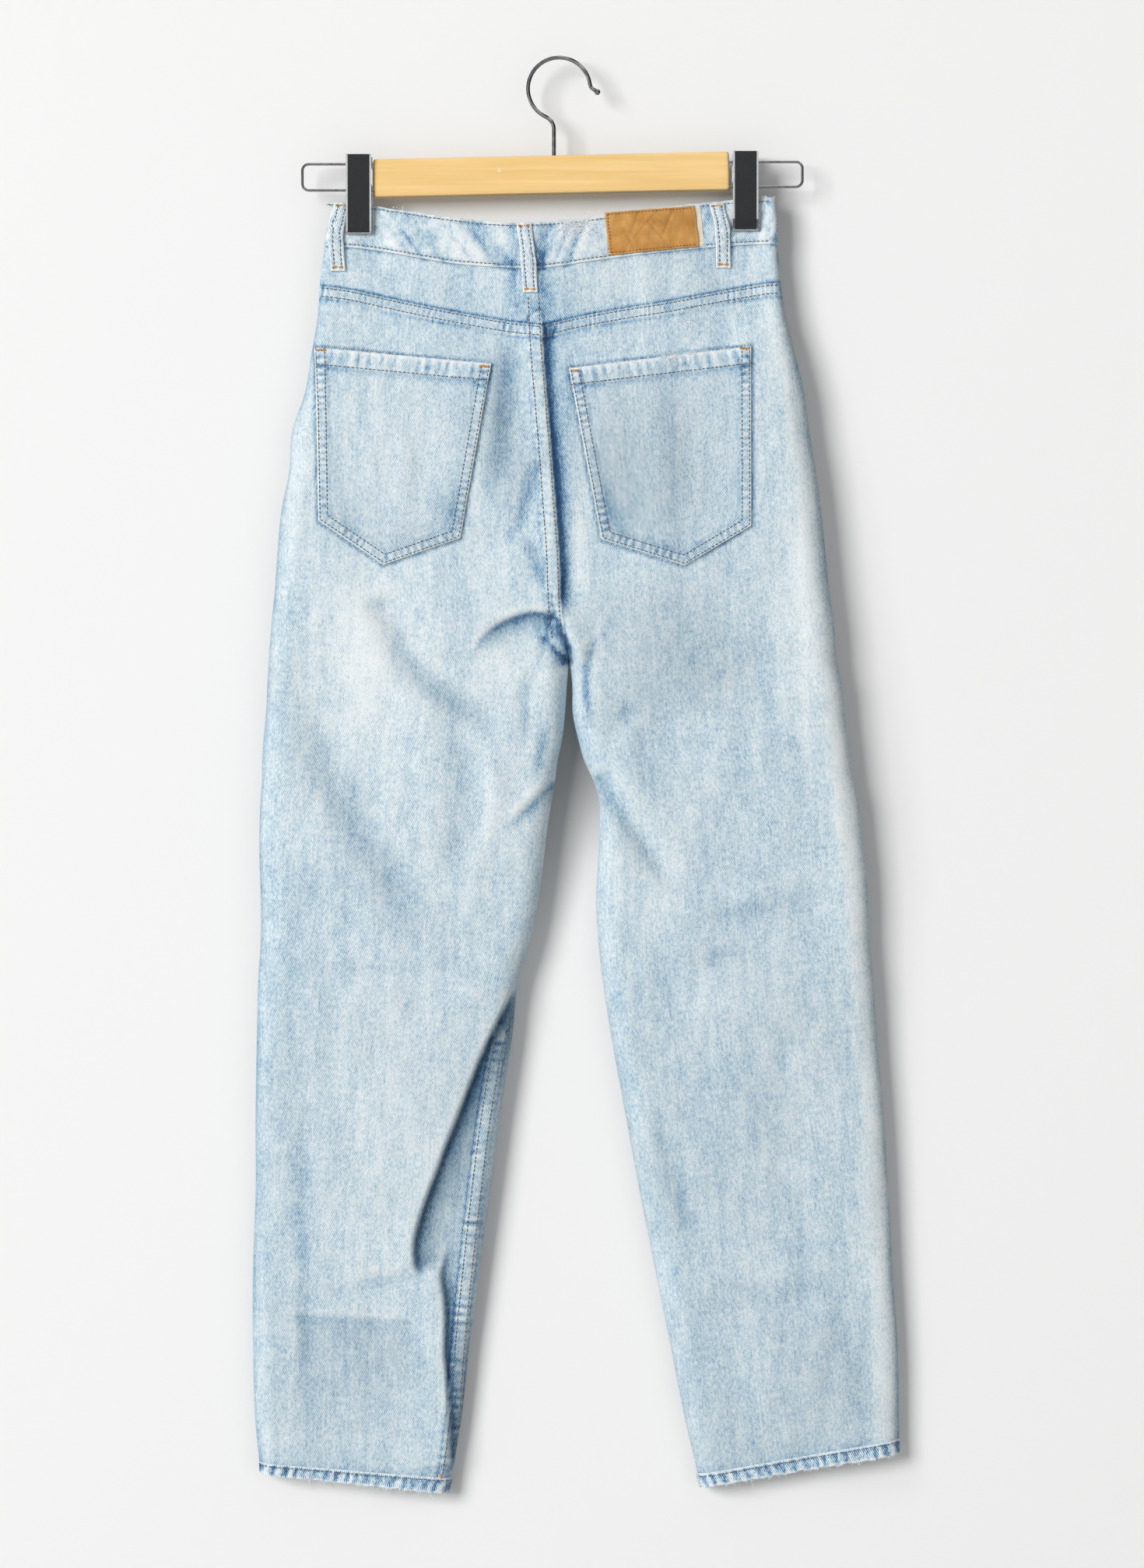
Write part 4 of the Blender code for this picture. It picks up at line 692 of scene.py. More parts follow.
def addGround():
    # soft unevenness of the hanging cloth, the waistband's slanting puckers, the rubbed zones, and the zones of painted
    # light, painted shade and grey tint
    shape = gridX.shape
    for seed, face in enumerate(("back", "front")):
        height[face] += 0.55 * noiseField(shape, (110, 34), 21 + seed) + 0.42 * noiseField(shape, (42, 15), 31 + seed)
        height[face] += 0.17 * noiseField(shape, (13, 7), 41 + seed) + 0.05 * noiseField(shape, (5, 4), 45 + seed)
        wash[face] += 0.03 * noiseField(shape, (90, 30), 51 + seed) + 0.03 * noiseField(shape, (30, 12), 61 + seed)
        wash[face] += 0.05 * noiseField(shape, (60, 4.2), 71 + seed) + 0.035 * noiseField(shape, (10, 6), 75 + seed)
        bottom = bandAt("bottom", gridX) + (cloth["frontDip"] if face == "front" else 0.0)
        onBand = ease((bottom + 4 - gridDrop) / 5.0)
        slant = np.where(gridX < -10, gridX - 0.75 * (gridDrop - 140), gridX + 0.35 * (gridDrop - 140))
        lines = noiseField((1, 900), (1, 7.5), 81 + seed)[0] + 0.6 * noiseField((1, 900), (1, 3.6), 91 + seed)[0]
        wave = np.interp(slant, np.arange(900) - 400.0, lines) * (0.6 + 0.5 * noiseField(shape, (14, 26), 95))
        height[face] += 0.75 * wave * onBand
        wash[face] += 0.20 * wave * onBand
        marbled = noiseField(shape, (4.5, 4.5), 85 + seed) + 0.8 * noiseField(shape, (2.2, 2.6), 88 + seed)
        wash[face] += 0.12 * marbled * (0.3 + 0.7 * onBand)
        shade[face] += 0.05 + 0.05 * noiseField(shape, (70, 44), 111 + seed) + 0.03 * noiseField(shape, (18, 14), 113)
    height["pocket"] += 0.30 * noiseField(shape, (30, 10), 101) + 0.10 * noiseField(shape, (9, 6), 104)
    wash["pocket"] += 0.05 * noiseField(shape, (34, 5), 102) + 0.04 * noiseField(shape, (5, 4), 103)
    for table, target in ((zones, wash), (greyTintAndShadeZones, shade)):
        for face, rows in table.items():
            for x, drop, wide, tall, amount in rows:
                target[face] += amount * np.exp(-((gridX - x) / wide) ** 2 - ((gridDrop - drop) / tall) ** 2)
    # both shins and the cloth below the knees are a little duller
    for face in ("back", "front"):
        shade[face] += 0.07 * ease((gridDrop - 660) / 120)


def addPockets():
    # on the pocket: rubbed edges, puckers between its two rows of stitches and under its top band;
    # on the panel round it: a narrow line of painted shadow, bluer and darker
    for leg in ("left", "right"):
        edge = pocketEdge(leg)
        rows, cols, d, along, _ = nearLine(edge, 26, True)
        d = -d * legSign[leg]
        rim = ease((8.5 - d) / 1.2) * ease((d + 0.5) / 0.5)
        wave = puckerWave(along, 5.6, 0.0)
        height["pocket"][rows, cols] += 0.22 * wave * rim * ease(d / 2.5) + 0.2 * rim
        wash["pocket"][rows, cols] += (0.21 * wave - 0.07) * rim * ease(d / 2.0) - 0.09 * bell(d - 9.5, 2.0)
        wash["pocket"][rows, cols] += 0.26 * bell(d, 0.9)
        # painted shadow just outside the pocket's edge
        outside = np.where(d < 0, bell(d + 0.8, 1.3), 0.0)
        wash["back"][rows, cols] -= 0.36 * outside
        shade["back"][rows, cols] += 0.36 * outside
        top = pocketEdge(leg, ("outerTop", "innerTop"))
        rows, cols, d, along, _ = nearLine(top, 24, True)
        depth = d * math.copysign(1.0, top[1][0] - top[0][0])
        band = ease((pocketSpec["band"] - depth) / 1.0) * ease((depth + 1) / 1.0)
        wave = puckerWave(along, 9.0, 0.1 * depth)
        height["pocket"][rows, cols] += (0.45 + 0.35 * wave) * band
        wash["pocket"][rows, cols] += (0.17 * wave + 0.02) * band + 0.16 * bell(depth - 1, 2.5)
        wash["pocket"][rows, cols] -= 0.16 * bell(depth - pocketSpec["band"] - 2.5, 2.2)


def blurred(field, reach):
    # mean over a square window, from running sums
    n = int(2 * reach + 1)
    for axis in (0, 1):
        padded = np.concatenate([np.repeat(field.take([0], axis), n // 2 + 1, axis), field,
                                 np.repeat(field.take([-1], axis), n // 2, axis)], axis)
        sums = np.cumsum(padded, axis)
        size = field.shape[axis]
        field = (sums.take(range(n, n + size), axis) - sums.take(range(size), axis)) / n
    return field


def addWear():
    # crests are rubbed paler and troughs keep their dye: gain x (height - mean height round it)
    for layer in height:
        for reach, gain in ((3, 0.34), (9, 0.10)):
            wash[layer] += np.clip(gain * (height[layer] - blurred(height[layer], reach)), -0.13, 0.06)


addGround()
addFolds()
addStrips()
addPockets()
addWear()
print("relief and wash of the cloth worked out")


def bodyDepth(face, x, drop):
    waist = smooth(waistPinch["x"], waistPinch["depth"], x)
    body = standAt(face, drop)
    share = ease((drop - cloth["pinchFrom"]) / (cloth["pinchTo"] - cloth["pinchFrom"]))
    return waist * (1 - share) + body * share


def relief(leg, face, x, drop):
    # outer skin over the flat middle: depth and folds, rounded to zero at the leg's two edges
    sign = legSign[leg]
    fromSide = sign * (x - sideX(leg, drop))
    fromInner = np.maximum(sign * (innerX(leg, face, drop) - x), 0.0)
    sideEdge = standAt("sideEdge", drop)
    innerEdge = standAt("innerEdge", drop)
    above = np.clip((cloth["crotch"] - drop) / cloth["crotchRise"], 0.0, 1.0)
    edges = quarter(fromSide / sideEdge) * quarter(fromInner / innerEdge + above)
    return (bodyDepth(face, x, drop) + sample(height[face], x, drop)) * edges


def place(leg, face, x, drop, inward=0.0, level=False):
    # points in metres, moved inward from the outer skin along its normal, or along its level part
    x, drop, inward = np.broadcast_arrays(np.asarray(x, float), np.asarray(drop, float), inward)
    facing, tiny = faceSign[face], 0.05
    y = relief(leg, face, x, drop)
    slopeX = (relief(leg, face, x + tiny, drop) - relief(leg, face, x - tiny, drop)) / (2 * tiny)
    slopeD = (relief(leg, face, x, drop + tiny) - relief(leg, face, x, drop - tiny)) / (2 * tiny)
    slopeX, slopeD = np.clip(slopeX, -6, 6), np.clip(slopeD, -6, 6) * (0.0 if level else 1.0)
    normal = np.stack([slopeX, -facing * np.ones_like(x), -slopeD], axis=-1)
    normal /= np.linalg.norm(normal, axis=-1, keepdims=True)
    points = np.stack([x, facing * np.maximum(y, 0.12), -drop], axis=-1) + normal * inward[..., None]
    return points * mm


def placeBoth(face, x, drop, inward=0.0, level=False):
    # for a piece that crosses the seat seam or the fly
    x, drop, inward = np.broadcast_arrays(np.asarray(x, float), np.asarray(drop, float), inward)
    left = place("left", face, x, drop, inward, level)
    right = place("right", face, x, drop, inward, level)
    return np.where((x < innerX("left", face, drop))[..., None], left, right)


def holdBack(points, face):
    # keep a seam's edge on its own side of the flat middle
    points[..., 1] = faceSign[face] * np.maximum(faceSign[face] * points[..., 1], 0.12 * mm)
    return points


def edgeSpread(size, radius, count):
    # shares of a width with extra lines in the rounded strip at both ends
    near = radius * np.array([0.0, 0.12, 0.35, 0.65])
    return np.concatenate([near, np.linspace(radius, size - radius, count), size - near[::-1]]) / size


def rolled(distance, radius):
    # how far a folded edge falls away from the flat: radius x (1 - quarter circle)
    return radius * (1 - quarter(distance / radius))


def meshVolume(points, quads):
    # six times the volume inside: a . (b x c) summed over the triangles
    a, b, c, d = [points[quads[:, k]] for k in range(4)]
    return (np.cross(b - a, c - a) * (a + b + c)).sum() + (np.cross(c - a, d - a) * (a + c + d)).sum()


def putMesh(name, points, quads, material, uv=None, marks=None, sharp=50.0, node=None):
    # a closed mesh with its faces outwards: a volume below zero turns them all round
    mesh = bpy.data.meshes.new(name)
    points, quads = np.asarray(points, float).reshape(-1, 3), np.asarray(quads, np.int32)
    if meshVolume(points, quads) < 0:
        quads = quads[:, ::-1]
    mesh.vertices.add(len(points))
    mesh.vertices.foreach_set("co", points.astype(np.float32).ravel())
    sides = quads.shape[1]
    mesh.loops.add(quads.size)
    mesh.loops.foreach_set("vertex_index", quads.ravel())
    mesh.polygons.add(len(quads))
    mesh.polygons.foreach_set("loop_start", np.arange(len(quads), dtype=np.int32) * sides)
    mesh.polygons.foreach_set("loop_total", np.full(len(quads), sides, np.int32))
    mesh.update(calc_edges=True)
    mesh.validate()
    if uv is not None:
        layer = mesh.uv_layers.new(name="cloth")
        layer.data.foreach_set("uv", np.asarray(uv, np.float32).reshape(-1, 2)[quads.ravel()].ravel())
    for mark, values in (marks or {}).items():
        attribute = mesh.attributes.new(mark, "FLOAT", "POINT")
        attribute.data.foreach_set("value", np.asarray(values, np.float32).ravel())
    mesh.shade_smooth()
    mesh.set_sharp_from_angle(angle=math.radians(sharp))
    mesh.materials.append(material)
    thing = bpy.data.objects.new(name, mesh)
    bpy.context.scene.collection.objects.link(thing)
    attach(thing, "root")
    if node:
        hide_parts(node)
    return thing


def wallQuads(rows, cols, ring=False):
    # the two skins of a wall and the strips that close it round its border
    r, c = np.meshgrid(np.arange(rows - 1), np.arange(cols if ring else cols - 1), indexing="ij")
    node = lambda r, c, k: k * rows * cols + r * cols + c % cols
    outer = np.stack([node(r, c, 0), node(r, c + 1, 0), node(r + 1, c + 1, 0), node(r + 1, c, 0)], -1)
    inner = np.stack([node(r, c, 1), node(r + 1, c, 1), node(r + 1, c + 1, 1), node(r, c + 1, 1)], -1)
    quads = [outer.reshape(-1, 4), inner.reshape(-1, 4)]
    c = np.arange(cols if ring else cols - 1)
    for row, flip in ((0, 1), (rows - 1, -1)):
        rim = [node(row, c, 0), node(row, c, 1), node(row, c + 1, 1), node(row, c + 1, 0)]
        quads.append(np.stack(rim, -1)[:, ::flip])
    if not ring:
        r = np.arange(rows - 1)
        for col, flip in ((0, 1), (cols - 1, -1)):
            rim = [node(r, col, 0), node(r + 1, col, 0), node(r + 1, col, 1), node(r, col, 1)]
            quads.append(np.stack(rim, -1)[:, ::flip])
    return np.concatenate(quads)


def gridArea(points):
    a, b = points[1:, :-1] - points[:-1, :-1], points[:-1, 1:] - points[:-1, :-1]
    return float(np.linalg.norm(np.cross(a, b), axis=-1).sum())


def clothUV(points, mirror):
    # metres along the cloth: across from the middle column, down along it
    step = np.linalg.norm(np.diff(points, axis=1), axis=-1)
    across = np.concatenate([np.zeros((len(points), 1)), np.cumsum(step, axis=1)], axis=1)
    middle = points.shape[1] // 2
    across = (across - across[:, middle:middle + 1]) * mirror
    fall = np.linalg.norm(np.diff(points[:, middle], axis=0), axis=-1)
    down = np.concatenate([[0], np.cumsum(fall)])[:, None] + np.zeros_like(across)
    return np.stack([across, down], axis=-1)


def sewn(name, node, skins, washOut, material, ring=False, leg="left"):
    # a sewn piece in the place of a CAD node: closed wall of cloth, its wash and cloth coordinates
    outer, inner = skins
    rows, cols = outer.shape[:2]
    points = np.concatenate([outer.reshape(-1, 3), inner.reshape(-1, 3)])
    quads = wallQuads(rows, cols, ring)
    uv = clothUV(outer, legSign[leg])
    washOut, shadeOut = washOut if isinstance(washOut, tuple) else (washOut, 0.0)
    washOut, shadeOut = [np.broadcast_to(values, outer.shape[:2]) for values in (washOut, shadeOut)]
    marks = {
        "wash": np.concatenate([washOut.ravel(), np.full(rows * cols, 0.86)]),
        "shade": np.concatenate([np.clip(shadeOut, 0, 1).ravel(), np.full(rows * cols, 0.1)]),
        "inside": np.concatenate([np.zeros(rows * cols), np.ones(rows * cols)]),
    }
    thing = putMesh(name, points, quads, material, np.concatenate([uv.reshape(-1, 2)] * 2), marks)
    around = outer if not ring else np.concatenate([outer, outer[:, :1]], axis=1)
    area = gridArea(around)
    wide = np.linalg.norm(np.diff(around, axis=1), axis=-1).sum(1).max()
    if node:
        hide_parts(node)


def skinsOf(leg, face, x, drop, inwards, banded=False):
    # outer and inner skin, each so far inwards of the cloth's face; without a leg they cross the middle
    put = (lambda *given: place(leg, *given)) if leg else placeBoth
    return [holdBack(put(face, x, drop, inward, banded), face) for inward in inwards]


def newMaterial(name):
    # a material, its nodes, and places on the object
    material = bpy.data.materials.new(name)
    material.use_nodes = True
    return material, material.node_tree, addNode(material.node_tree, "TexCoord").outputs["Object"]


def finishOf(tree, colour, rough, height=None, bump=(0.0, 0.0), others=None):
    # what every finish sets; its height turns the normal by a bump of so much strength and distance
    given = {"Base Color": colour, "Roughness": rough, **(others or {})}
    if height is not None:
        given["Normal"] = addNode(tree, "Bump", {"Strength": bump[0], "Distance": bump[1], "Height": height}).outputs[0]
    setInputs(tree, tree.nodes["Principled BSDF"], given)


denimLook = {
    "twillPitch": 0.00135,
    "twillTurn": math.radians(32),
    "twill": 0.34,
    # noise of the yarns and the wash: stretch across and along the cloth per metre, detail, strength
    "yarns": {
        "slub": (900.0, 60.0, 2.0, 0.34), "streak": (240.0, 18.0, 2.0, 0.22), "fleck": (560.0, 300.0, 3.0, 0.85),
        "mottle": (110.0, 70.0, 3.0, 0.24), "grain": (1500.0, 1000.0, 2.0, 0.75), "cloud": (17.0, 9.0, 2.0, 0.12),
    },
    "shadeColour": (0.17, 0.235, 0.285),
    "colours": [
        (0.0, (0.030, 0.085, 0.20)),
        (0.18, (0.085, 0.21, 0.39)),
        (0.36, (0.24, 0.40, 0.565)),
        (0.52, (0.41, 0.56, 0.675)),
        (0.68, (0.57, 0.695, 0.765)),
        (0.84, (0.72, 0.805, 0.84)),
        (1.0, (0.88, 0.91, 0.92)),
    ],
}


def makeDenimGroup():
    # colour = ramp(wash + twill lines + slubs along the warp + mottling), darkened by the painted shade and grey tint;
    # height = twill and grain
    group = bpy.data.node_groups.new("washedDenim", "ShaderNodeTree")
    for way, name, kind in (
        ("INPUT", "Cloth", "Vector"), ("INPUT", "Wash", "Float"),
        ("INPUT", "Shade", "Float"), ("INPUT", "Contrast", "Float"),
        ("OUTPUT", "Colour", "Color"), ("OUTPUT", "Height", "Float"), ("OUTPUT", "Roughness", "Float"),
    ):
        group.interface.new_socket(name=name, in_out=way, socket_type="NodeSocket" + kind)
    given, result = group.nodes.new("NodeGroupInput").outputs, group.nodes.new("NodeGroupOutput")
    look = denimLook
    turned = addNode(group, "Mapping", {0: given["Cloth"], "Rotation": (0.0, 0.0, look["twillTurn"])}).outputs[0]
    waves = {"Vector": turned, "Scale": 0.314 / look["twillPitch"],
             "Distortion": 1.6, "Detail": 1.0, "Detail Scale": 0.5}
    twill = addNode(group, "TexWave", waves, wave_type="BANDS", bands_direction="X", wave_profile="SIN").outputs["Fac"]
    yarns, parts = {}, [(twill, look["twill"])]
    for name, (across, along, detail, strength) in look["yarns"].items():
        yarns[name] = noiseOf(group, given["Cloth"], 1.0, detail, (across, along, 1.0))
        parts.append((yarns[name], strength))
    shift = sumOf(group, parts, -0.5 * sum(strength for _, strength in parts))
    level = sumOf(group, [(shift, given["Contrast"])], given["Wash"])
    bright = rampOf(group, level, look["colours"])
    tintAndShade = {"Fac": given["Shade"], "Color1": bright, "Color2": (*look["shadeColour"], 1.0)}
    setInputs(group, result, {
        "Colour": addNode(group, "MixRGB", tintAndShade, blend_type="MULTIPLY").outputs[0],
        "Height": sumOf(group, [(twill, 0.6), (yarns["grain"], 0.5)]),
        "Roughness": sumOf(group, [(yarns["mottle"], 0.1)], 0.8),
    })
    return group


def makeDenim(name, contrast):
    # the cloth's inner skin is the pale weft side
    material, tree, _ = newMaterial(name)
    worn, tintAndShade, inside = [
        addNode(tree, "Attribute", attribute_name=mark).outputs["Fac"] for mark in ("wash", "shade", "inside")]
    at = addNode(tree, "UVMap", uv_map="cloth").outputs[0]
    group = bpy.data.node_groups.get("washedDenim") or makeDenimGroup()
    weave = addNode(tree, "Group", node_tree=group)
    setInputs(tree, weave, {"Cloth": at, "Wash": worn, "Shade": tintAndShade, "Contrast": contrast})
    share = addNode(tree, "Math", {0: inside, 1: 0.75}, operation="MULTIPLY").outputs[0]
    colours = {"Fac": share, "Color1": weave.outputs["Colour"], "Color2": (0.66, 0.70, 0.74, 1.0)}
    finishOf(tree, addNode(tree, "MixRGB", colours).outputs[0], weave.outputs["Roughness"], weave.outputs["Height"],
             (0.45, 0.00025), {"Sheen Weight": 0.12, "Sheen Roughness": 0.6, "Specular IOR Level": 0.2})
    return material


def makeThread(name, dark, pale):
    # twisted yarn: fine noise between two colours
    material, tree, at = newMaterial(name)
    noise = noiseOf(tree, at, 900.0)
    finishOf(tree, rampOf(tree, noise, [(0.35, dark), (0.65, pale)]), 0.75, noise, (0.4, 0.0001))
    return material


def makeWood():
    # straight grain along the bar, pores as fine dark dashes, one small filled nail hole, satin varnish
    material, tree, at = newMaterial("varnishedWood")
    grain = noiseOf(tree, at, 1.0, 5.0, (9.0, 90.0, 260.0))
    pores = noiseOf(tree, at, 1.0, 2.0, (60.0, 500.0, 1400.0))
    tone = sumOf(tree, [(grain, 1.0), (pores, 0.28)], -0.14)
    colour = rampOf(tree, tone, [(0.25, (0.83, 0.54, 0.20)), (0.5, (0.91, 0.61, 0.25)), (0.75, (0.97, 0.68, 0.31))])
    fromHole = addNode(tree, "VectorMath", {0: at, 1: (-0.046, -0.006, -0.0862)}, operation="DISTANCE").outputs["Value"]
    isHole = addNode(tree, "Math", {0: fromHole, 1: 0.0016}, operation="LESS_THAN").outputs[0]
    filled = addNode(tree, "MixRGB", {"Fac": isHole, "Color1": colour, "Color2": (0.90, 0.70, 0.42, 1.0)}).outputs[0]
    finishOf(tree, filled, sumOf(tree, [(grain, 0.14)], 0.3), tone, (0.15, 0.0002), {"Coat Weight": 0.25})
    return material


def makeMetal(name, dark, pale, rough, scale):
    # plated wire or brass: faint blotches of tone, and of roughness
    material, tree, at = newMaterial(name)
    noise = noiseOf(tree, at, scale, 4.0)
    colour = rampOf(tree, noise, [(0.3, dark), (0.7, pale)])
    finishOf(tree, colour, sumOf(tree, [(noise, 0.15)], rough), others={"Metallic": 1.0})
    return material


def makeBlackPlate():
    # gloss black enamel with dust specks and a little orange peel
    material, tree, at = newMaterial("blackEnamel")
    specks, peel = noiseOf(tree, at, 900.0), noiseOf(tree, at, 160.0)
    colour = rampOf(tree, specks,
                    [(0.0, (0.013, 0.015, 0.017)), (0.70, (0.022, 0.024, 0.027)), (0.80, (0.09, 0.09, 0.09))])
    finishOf(tree, colour, sumOf(tree, [(peel, 0.2)], 0.25), peel, (0.12, 0.0002))
    return material


def makeLeather():
    # tan leather: cell grain and mottled tone
    material, tree, at = newMaterial("tanLeather")
    cells = addNode(tree, "TexVoronoi", {"Vector": at, "Scale": 1300.0}).outputs["Distance"]
    tone = noiseOf(tree, at, 90.0, 6.0)
    colour = rampOf(tree, sumOf(tree, [(tone, 1.0), (cells, 0.2)], -0.08),
                    [(0.25, (0.42, 0.19, 0.045)), (0.5, (0.56, 0.27, 0.07)), (0.75, (0.66, 0.36, 0.11))])
    finishOf(tree, colour, sumOf(tree, [(tone, 0.2)], 0.45), sumOf(tree, [(cells, 1.0), (tone, 1.0)]), (0.35, 0.0002))
    return material


denim = makeDenim("denim", 1.0)
denimEdge = makeDenim("denimEdge", 1.5)
brownThread = makeThread("brownThread", (0.09, 0.08, 0.085), (0.25, 0.21, 0.19))
tackThread = makeThread("tackThread", (0.42, 0.19, 0.05), (0.72, 0.42, 0.16))
whiteThread = makeThread("whiteThread", (0.70, 0.76, 0.82), (0.92, 0.94, 0.96))
tapeCloth = makeThread("creamTape", (0.74, 0.62, 0.46), (0.90, 0.82, 0.68))
wood = makeWood()
chrome = makeMetal("chrome", (0.55, 0.56, 0.58), (0.80, 0.80, 0.82), 0.07, 240.0)
# the hook's and loops' plating: the chrome painted darker, a painted shade for the dark reflections along the thin wire
shadedChrome = makeMetal("shadedChromeWire", (0.26, 0.26, 0.27), (0.46, 0.46, 0.47), 0.06, 240.0)
patchThread = makeThread("patchThread", (0.12, 0.06, 0.03), (0.30, 0.16, 0.07))
brass = makeMetal("agedBrass", (0.30, 0.22, 0.13), (0.55, 0.44, 0.29), 0.28, 400.0)
blackPlate = makeBlackPlate()
leather = makeLeather()
print("finishes made")


panelSpec = {
    "innerDrops": (206.0, 239.0, 374.0, 435.5, 463.5),
    "sideDrops": (174.5, 222.0, 350.0, 405.0, 440.0),
    "topStep": 1.75,
    "legStep": 2.7,
    "columns": 96,
    "edgeColumns": 12,
    "frontStep": 3.2,
    "frontColumns": 70,
}


def panelDrops(leg, topStep, legStep):
    # drops of the rows at the side and at the inner edge, even between the named rows
    spec, hem = panelSpec, hemLine[leg]
    inner = list(spec["innerDrops"]) + [hem["inner"] - 0.1]
    side = list(spec["sideDrops"]) + [hem["side"] - 0.1]
    innerAll, sideAll = [], []
    for k, step in enumerate([topStep] * (len(inner) - 2) + [legStep]):
        count = max(2, int((inner[k + 1] - inner[k]) / step))
        share = np.linspace(0, 1, count, endpoint=False)
        innerAll.append(inner[k] + (inner[k + 1] - inner[k]) * share)
        sideAll.append(side[k] + (side[k + 1] - side[k]) * share)
    return np.append(np.concatenate(innerAll), inner[-1]), np.append(np.concatenate(sideAll), side[-1])


def acrossShares(whole, sideEdge, innerEdge, columns, edgeColumns):
    # even columns with extra ones gathered on the two rounded edges, as shares from side to inner
    turn = np.linspace(0, math.pi / 2, edgeColumns)[None, :]
    sidePart = sideEdge * (1 - np.cos(turn))
    innerPart = whole - innerEdge * (1 - np.cos(turn[:, ::-1]))
    flat = sideEdge + (whole - sideEdge - innerEdge) * np.linspace(0, 1, columns)[None, 1:-1]
    return np.concatenate([sidePart, flat, innerPart], axis=1) / whole


def washAt(leg, face, x, drop):
    # the map's wash, blue along the leg's very side; on the right leg, a paler band of painted light where it rounds
    # away from the lamp
    fromSide = legSign[leg] * (x - sideX(leg, drop))
    rounding = np.where(drop > 170, 0.16 * bell(fromSide, 3.0), 0.0)
    if leg == "right":
        # painted light along the right leg's side
        rounding = rounding - 0.20 * bell(fromSide - 10.0, 8.0) * ease((drop - 170) / 60)
    return sample(wash[face], x, drop) - rounding


def backPanel(leg):
    # rows run from the side to the inner edge, the first one along the yoke's seam
    sign = legSign[leg]
    innerDrop, sideDrop = panelDrops(leg, panelSpec["topStep"], panelSpec["legStep"])
    innerDrop, sideDrop = innerDrop[:, None], sideDrop[:, None]
    side, edge = sideX(leg, sideDrop), innerX(leg, "back", innerDrop)
    width = twistWidth(leg, innerDrop)
    seam = edge - sign * width
    whole = np.abs(seam - side)
    sideEdge = standAt("sideEdge", sideDrop)
    innerEdge = np.maximum(standAt("innerEdge", innerDrop) - width, 2.0)
    share = acrossShares(whole, sideEdge, innerEdge, panelSpec["columns"], panelSpec["edgeColumns"])
    x = side + (seam - side) * share
    drop = sideDrop + (innerDrop - sideDrop) * (x - side) / (edge - side)
    seamDrop = yokeAt(leg, x)
    fade = ease(1 - (drop - seamDrop[:1]) / 60.0)
    drop = drop + (seamDrop[:1] - drop[:1]) * fade
    skins = skinsOf(leg, "back", x, drop, (0.0, cloth["denim"]))
    tones = (washAt(leg, "back", x, drop), sample(shade["back"], x, drop))
    sewn("backPanel_" + leg, "back_" + leg, skins, tones, denim, leg=leg)


def loopStart(leg, drop):
    # where the inseam lies on the loop round a leg: 0 on its inner edge, below 0 on its back
    innerEdge = standAt("innerEdge", drop)
    width = twistWidth(leg, drop)
    return np.where(width > 0.3, -0.2 * np.arccos(1 - np.clip(width / innerEdge, 0, 1)) / (math.pi / 2), 0.0)


def loopEnd(leg, innerDrop, sideDrop, cut):
    # where the front panel stops, short of the side by the hand pocket's mouth
    sideEdge = standAt("sideEdge", sideDrop)
    innerEdge = standAt("innerEdge", innerDrop)
    whole = np.abs(innerX(leg, "front", innerDrop) - sideX(leg, sideDrop))
    onEdge = 1 - 0.2 * np.arccos(1 - np.clip(cut / sideEdge, 0, 1)) / (math.pi / 2)
    onFlat = 0.2 + 0.6 * (whole - cut - innerEdge) / (whole - innerEdge - sideEdge)
    return np.where(cut < sideEdge, onEdge, onFlat)


def loopColumns(leg, drop, u):
    # x across the front of a leg from its inner edge, 0, to its side, 1, gathered on both edges
    side, edge = sideX(leg, drop), innerX(leg, "front", drop)
    innerEdge = standAt("innerEdge", drop)
    sideEdge = standAt("sideEdge", drop)
    flat = np.abs(edge - side) - innerEdge - sideEdge
    innerTurn = np.clip(np.abs(u) / 0.2, 0, 1) * math.pi / 2
    sideTurn = np.clip((np.abs(u) - 0.8) / 0.2, 0, 1) * math.pi / 2
    across = np.clip((np.abs(u) - 0.2) / 0.6, 0, 1)
    away = innerEdge * (1 - np.cos(innerTurn)) + flat * across + sideEdge * np.sin(sideTurn)
    return edge - legSign[leg] * away


def frontGrid(leg):
    seam = cloth["bandHeight"] + 0.1
    topSide = frontTop(sideX(leg, 150.0)) + seam
    topInner = frontTop(innerX(leg, "front", 165.0)) + seam
    mouth = np.sin(np.linspace(0, math.pi / 2, 34))
    mouth[-6:] = np.linspace(mouth[-7], 1.0, 7)[1:]
    innerNamed = np.array([232.0, 262.0, 300.0, 345.0, 392.0, 435.5])
    sideNamed = np.array([topSide + cloth["mouthHeight"], 250.0, 288.0, 328.0, 366.0, 405.0])
    marks = np.linspace(0, 5, 62)[1:]
    innerDrop = np.concatenate([topInner + (232.0 - topInner) * mouth, np.interp(marks, range(6), innerNamed)])
    sideDrop = np.concatenate([topSide + cloth["mouthHeight"] * mouth, np.interp(marks, range(6), sideNamed)])
    lowInner, lowSide = panelDrops(leg, panelSpec["frontStep"], panelSpec["frontStep"])
    below = lowInner > 436.5
    innerDrop = np.concatenate([innerDrop, lowInner[below]])[:, None]
    sideDrop = np.concatenate([sideDrop, lowSide[below]])[:, None]
    start = loopStart(leg, innerDrop)
    end = loopEnd(leg, innerDrop, sideDrop, mouthWidth((sideDrop - topSide) / cloth["mouthHeight"]))
    u = start + (end - start) * np.linspace(0, 1, panelSpec["frontColumns"])[None, :]
    middle = (innerDrop + sideDrop) / 2
    x = loopColumns(leg, middle, u)
    edge, side = innerX(leg, "front", middle), sideX(leg, middle)
    drop = innerDrop + (sideDrop - innerDrop) * (x - edge) / (side - edge)
    x = loopColumns(leg, drop, u)
    drop[0] = frontTop(x[0]) + seam
    return u, x, drop


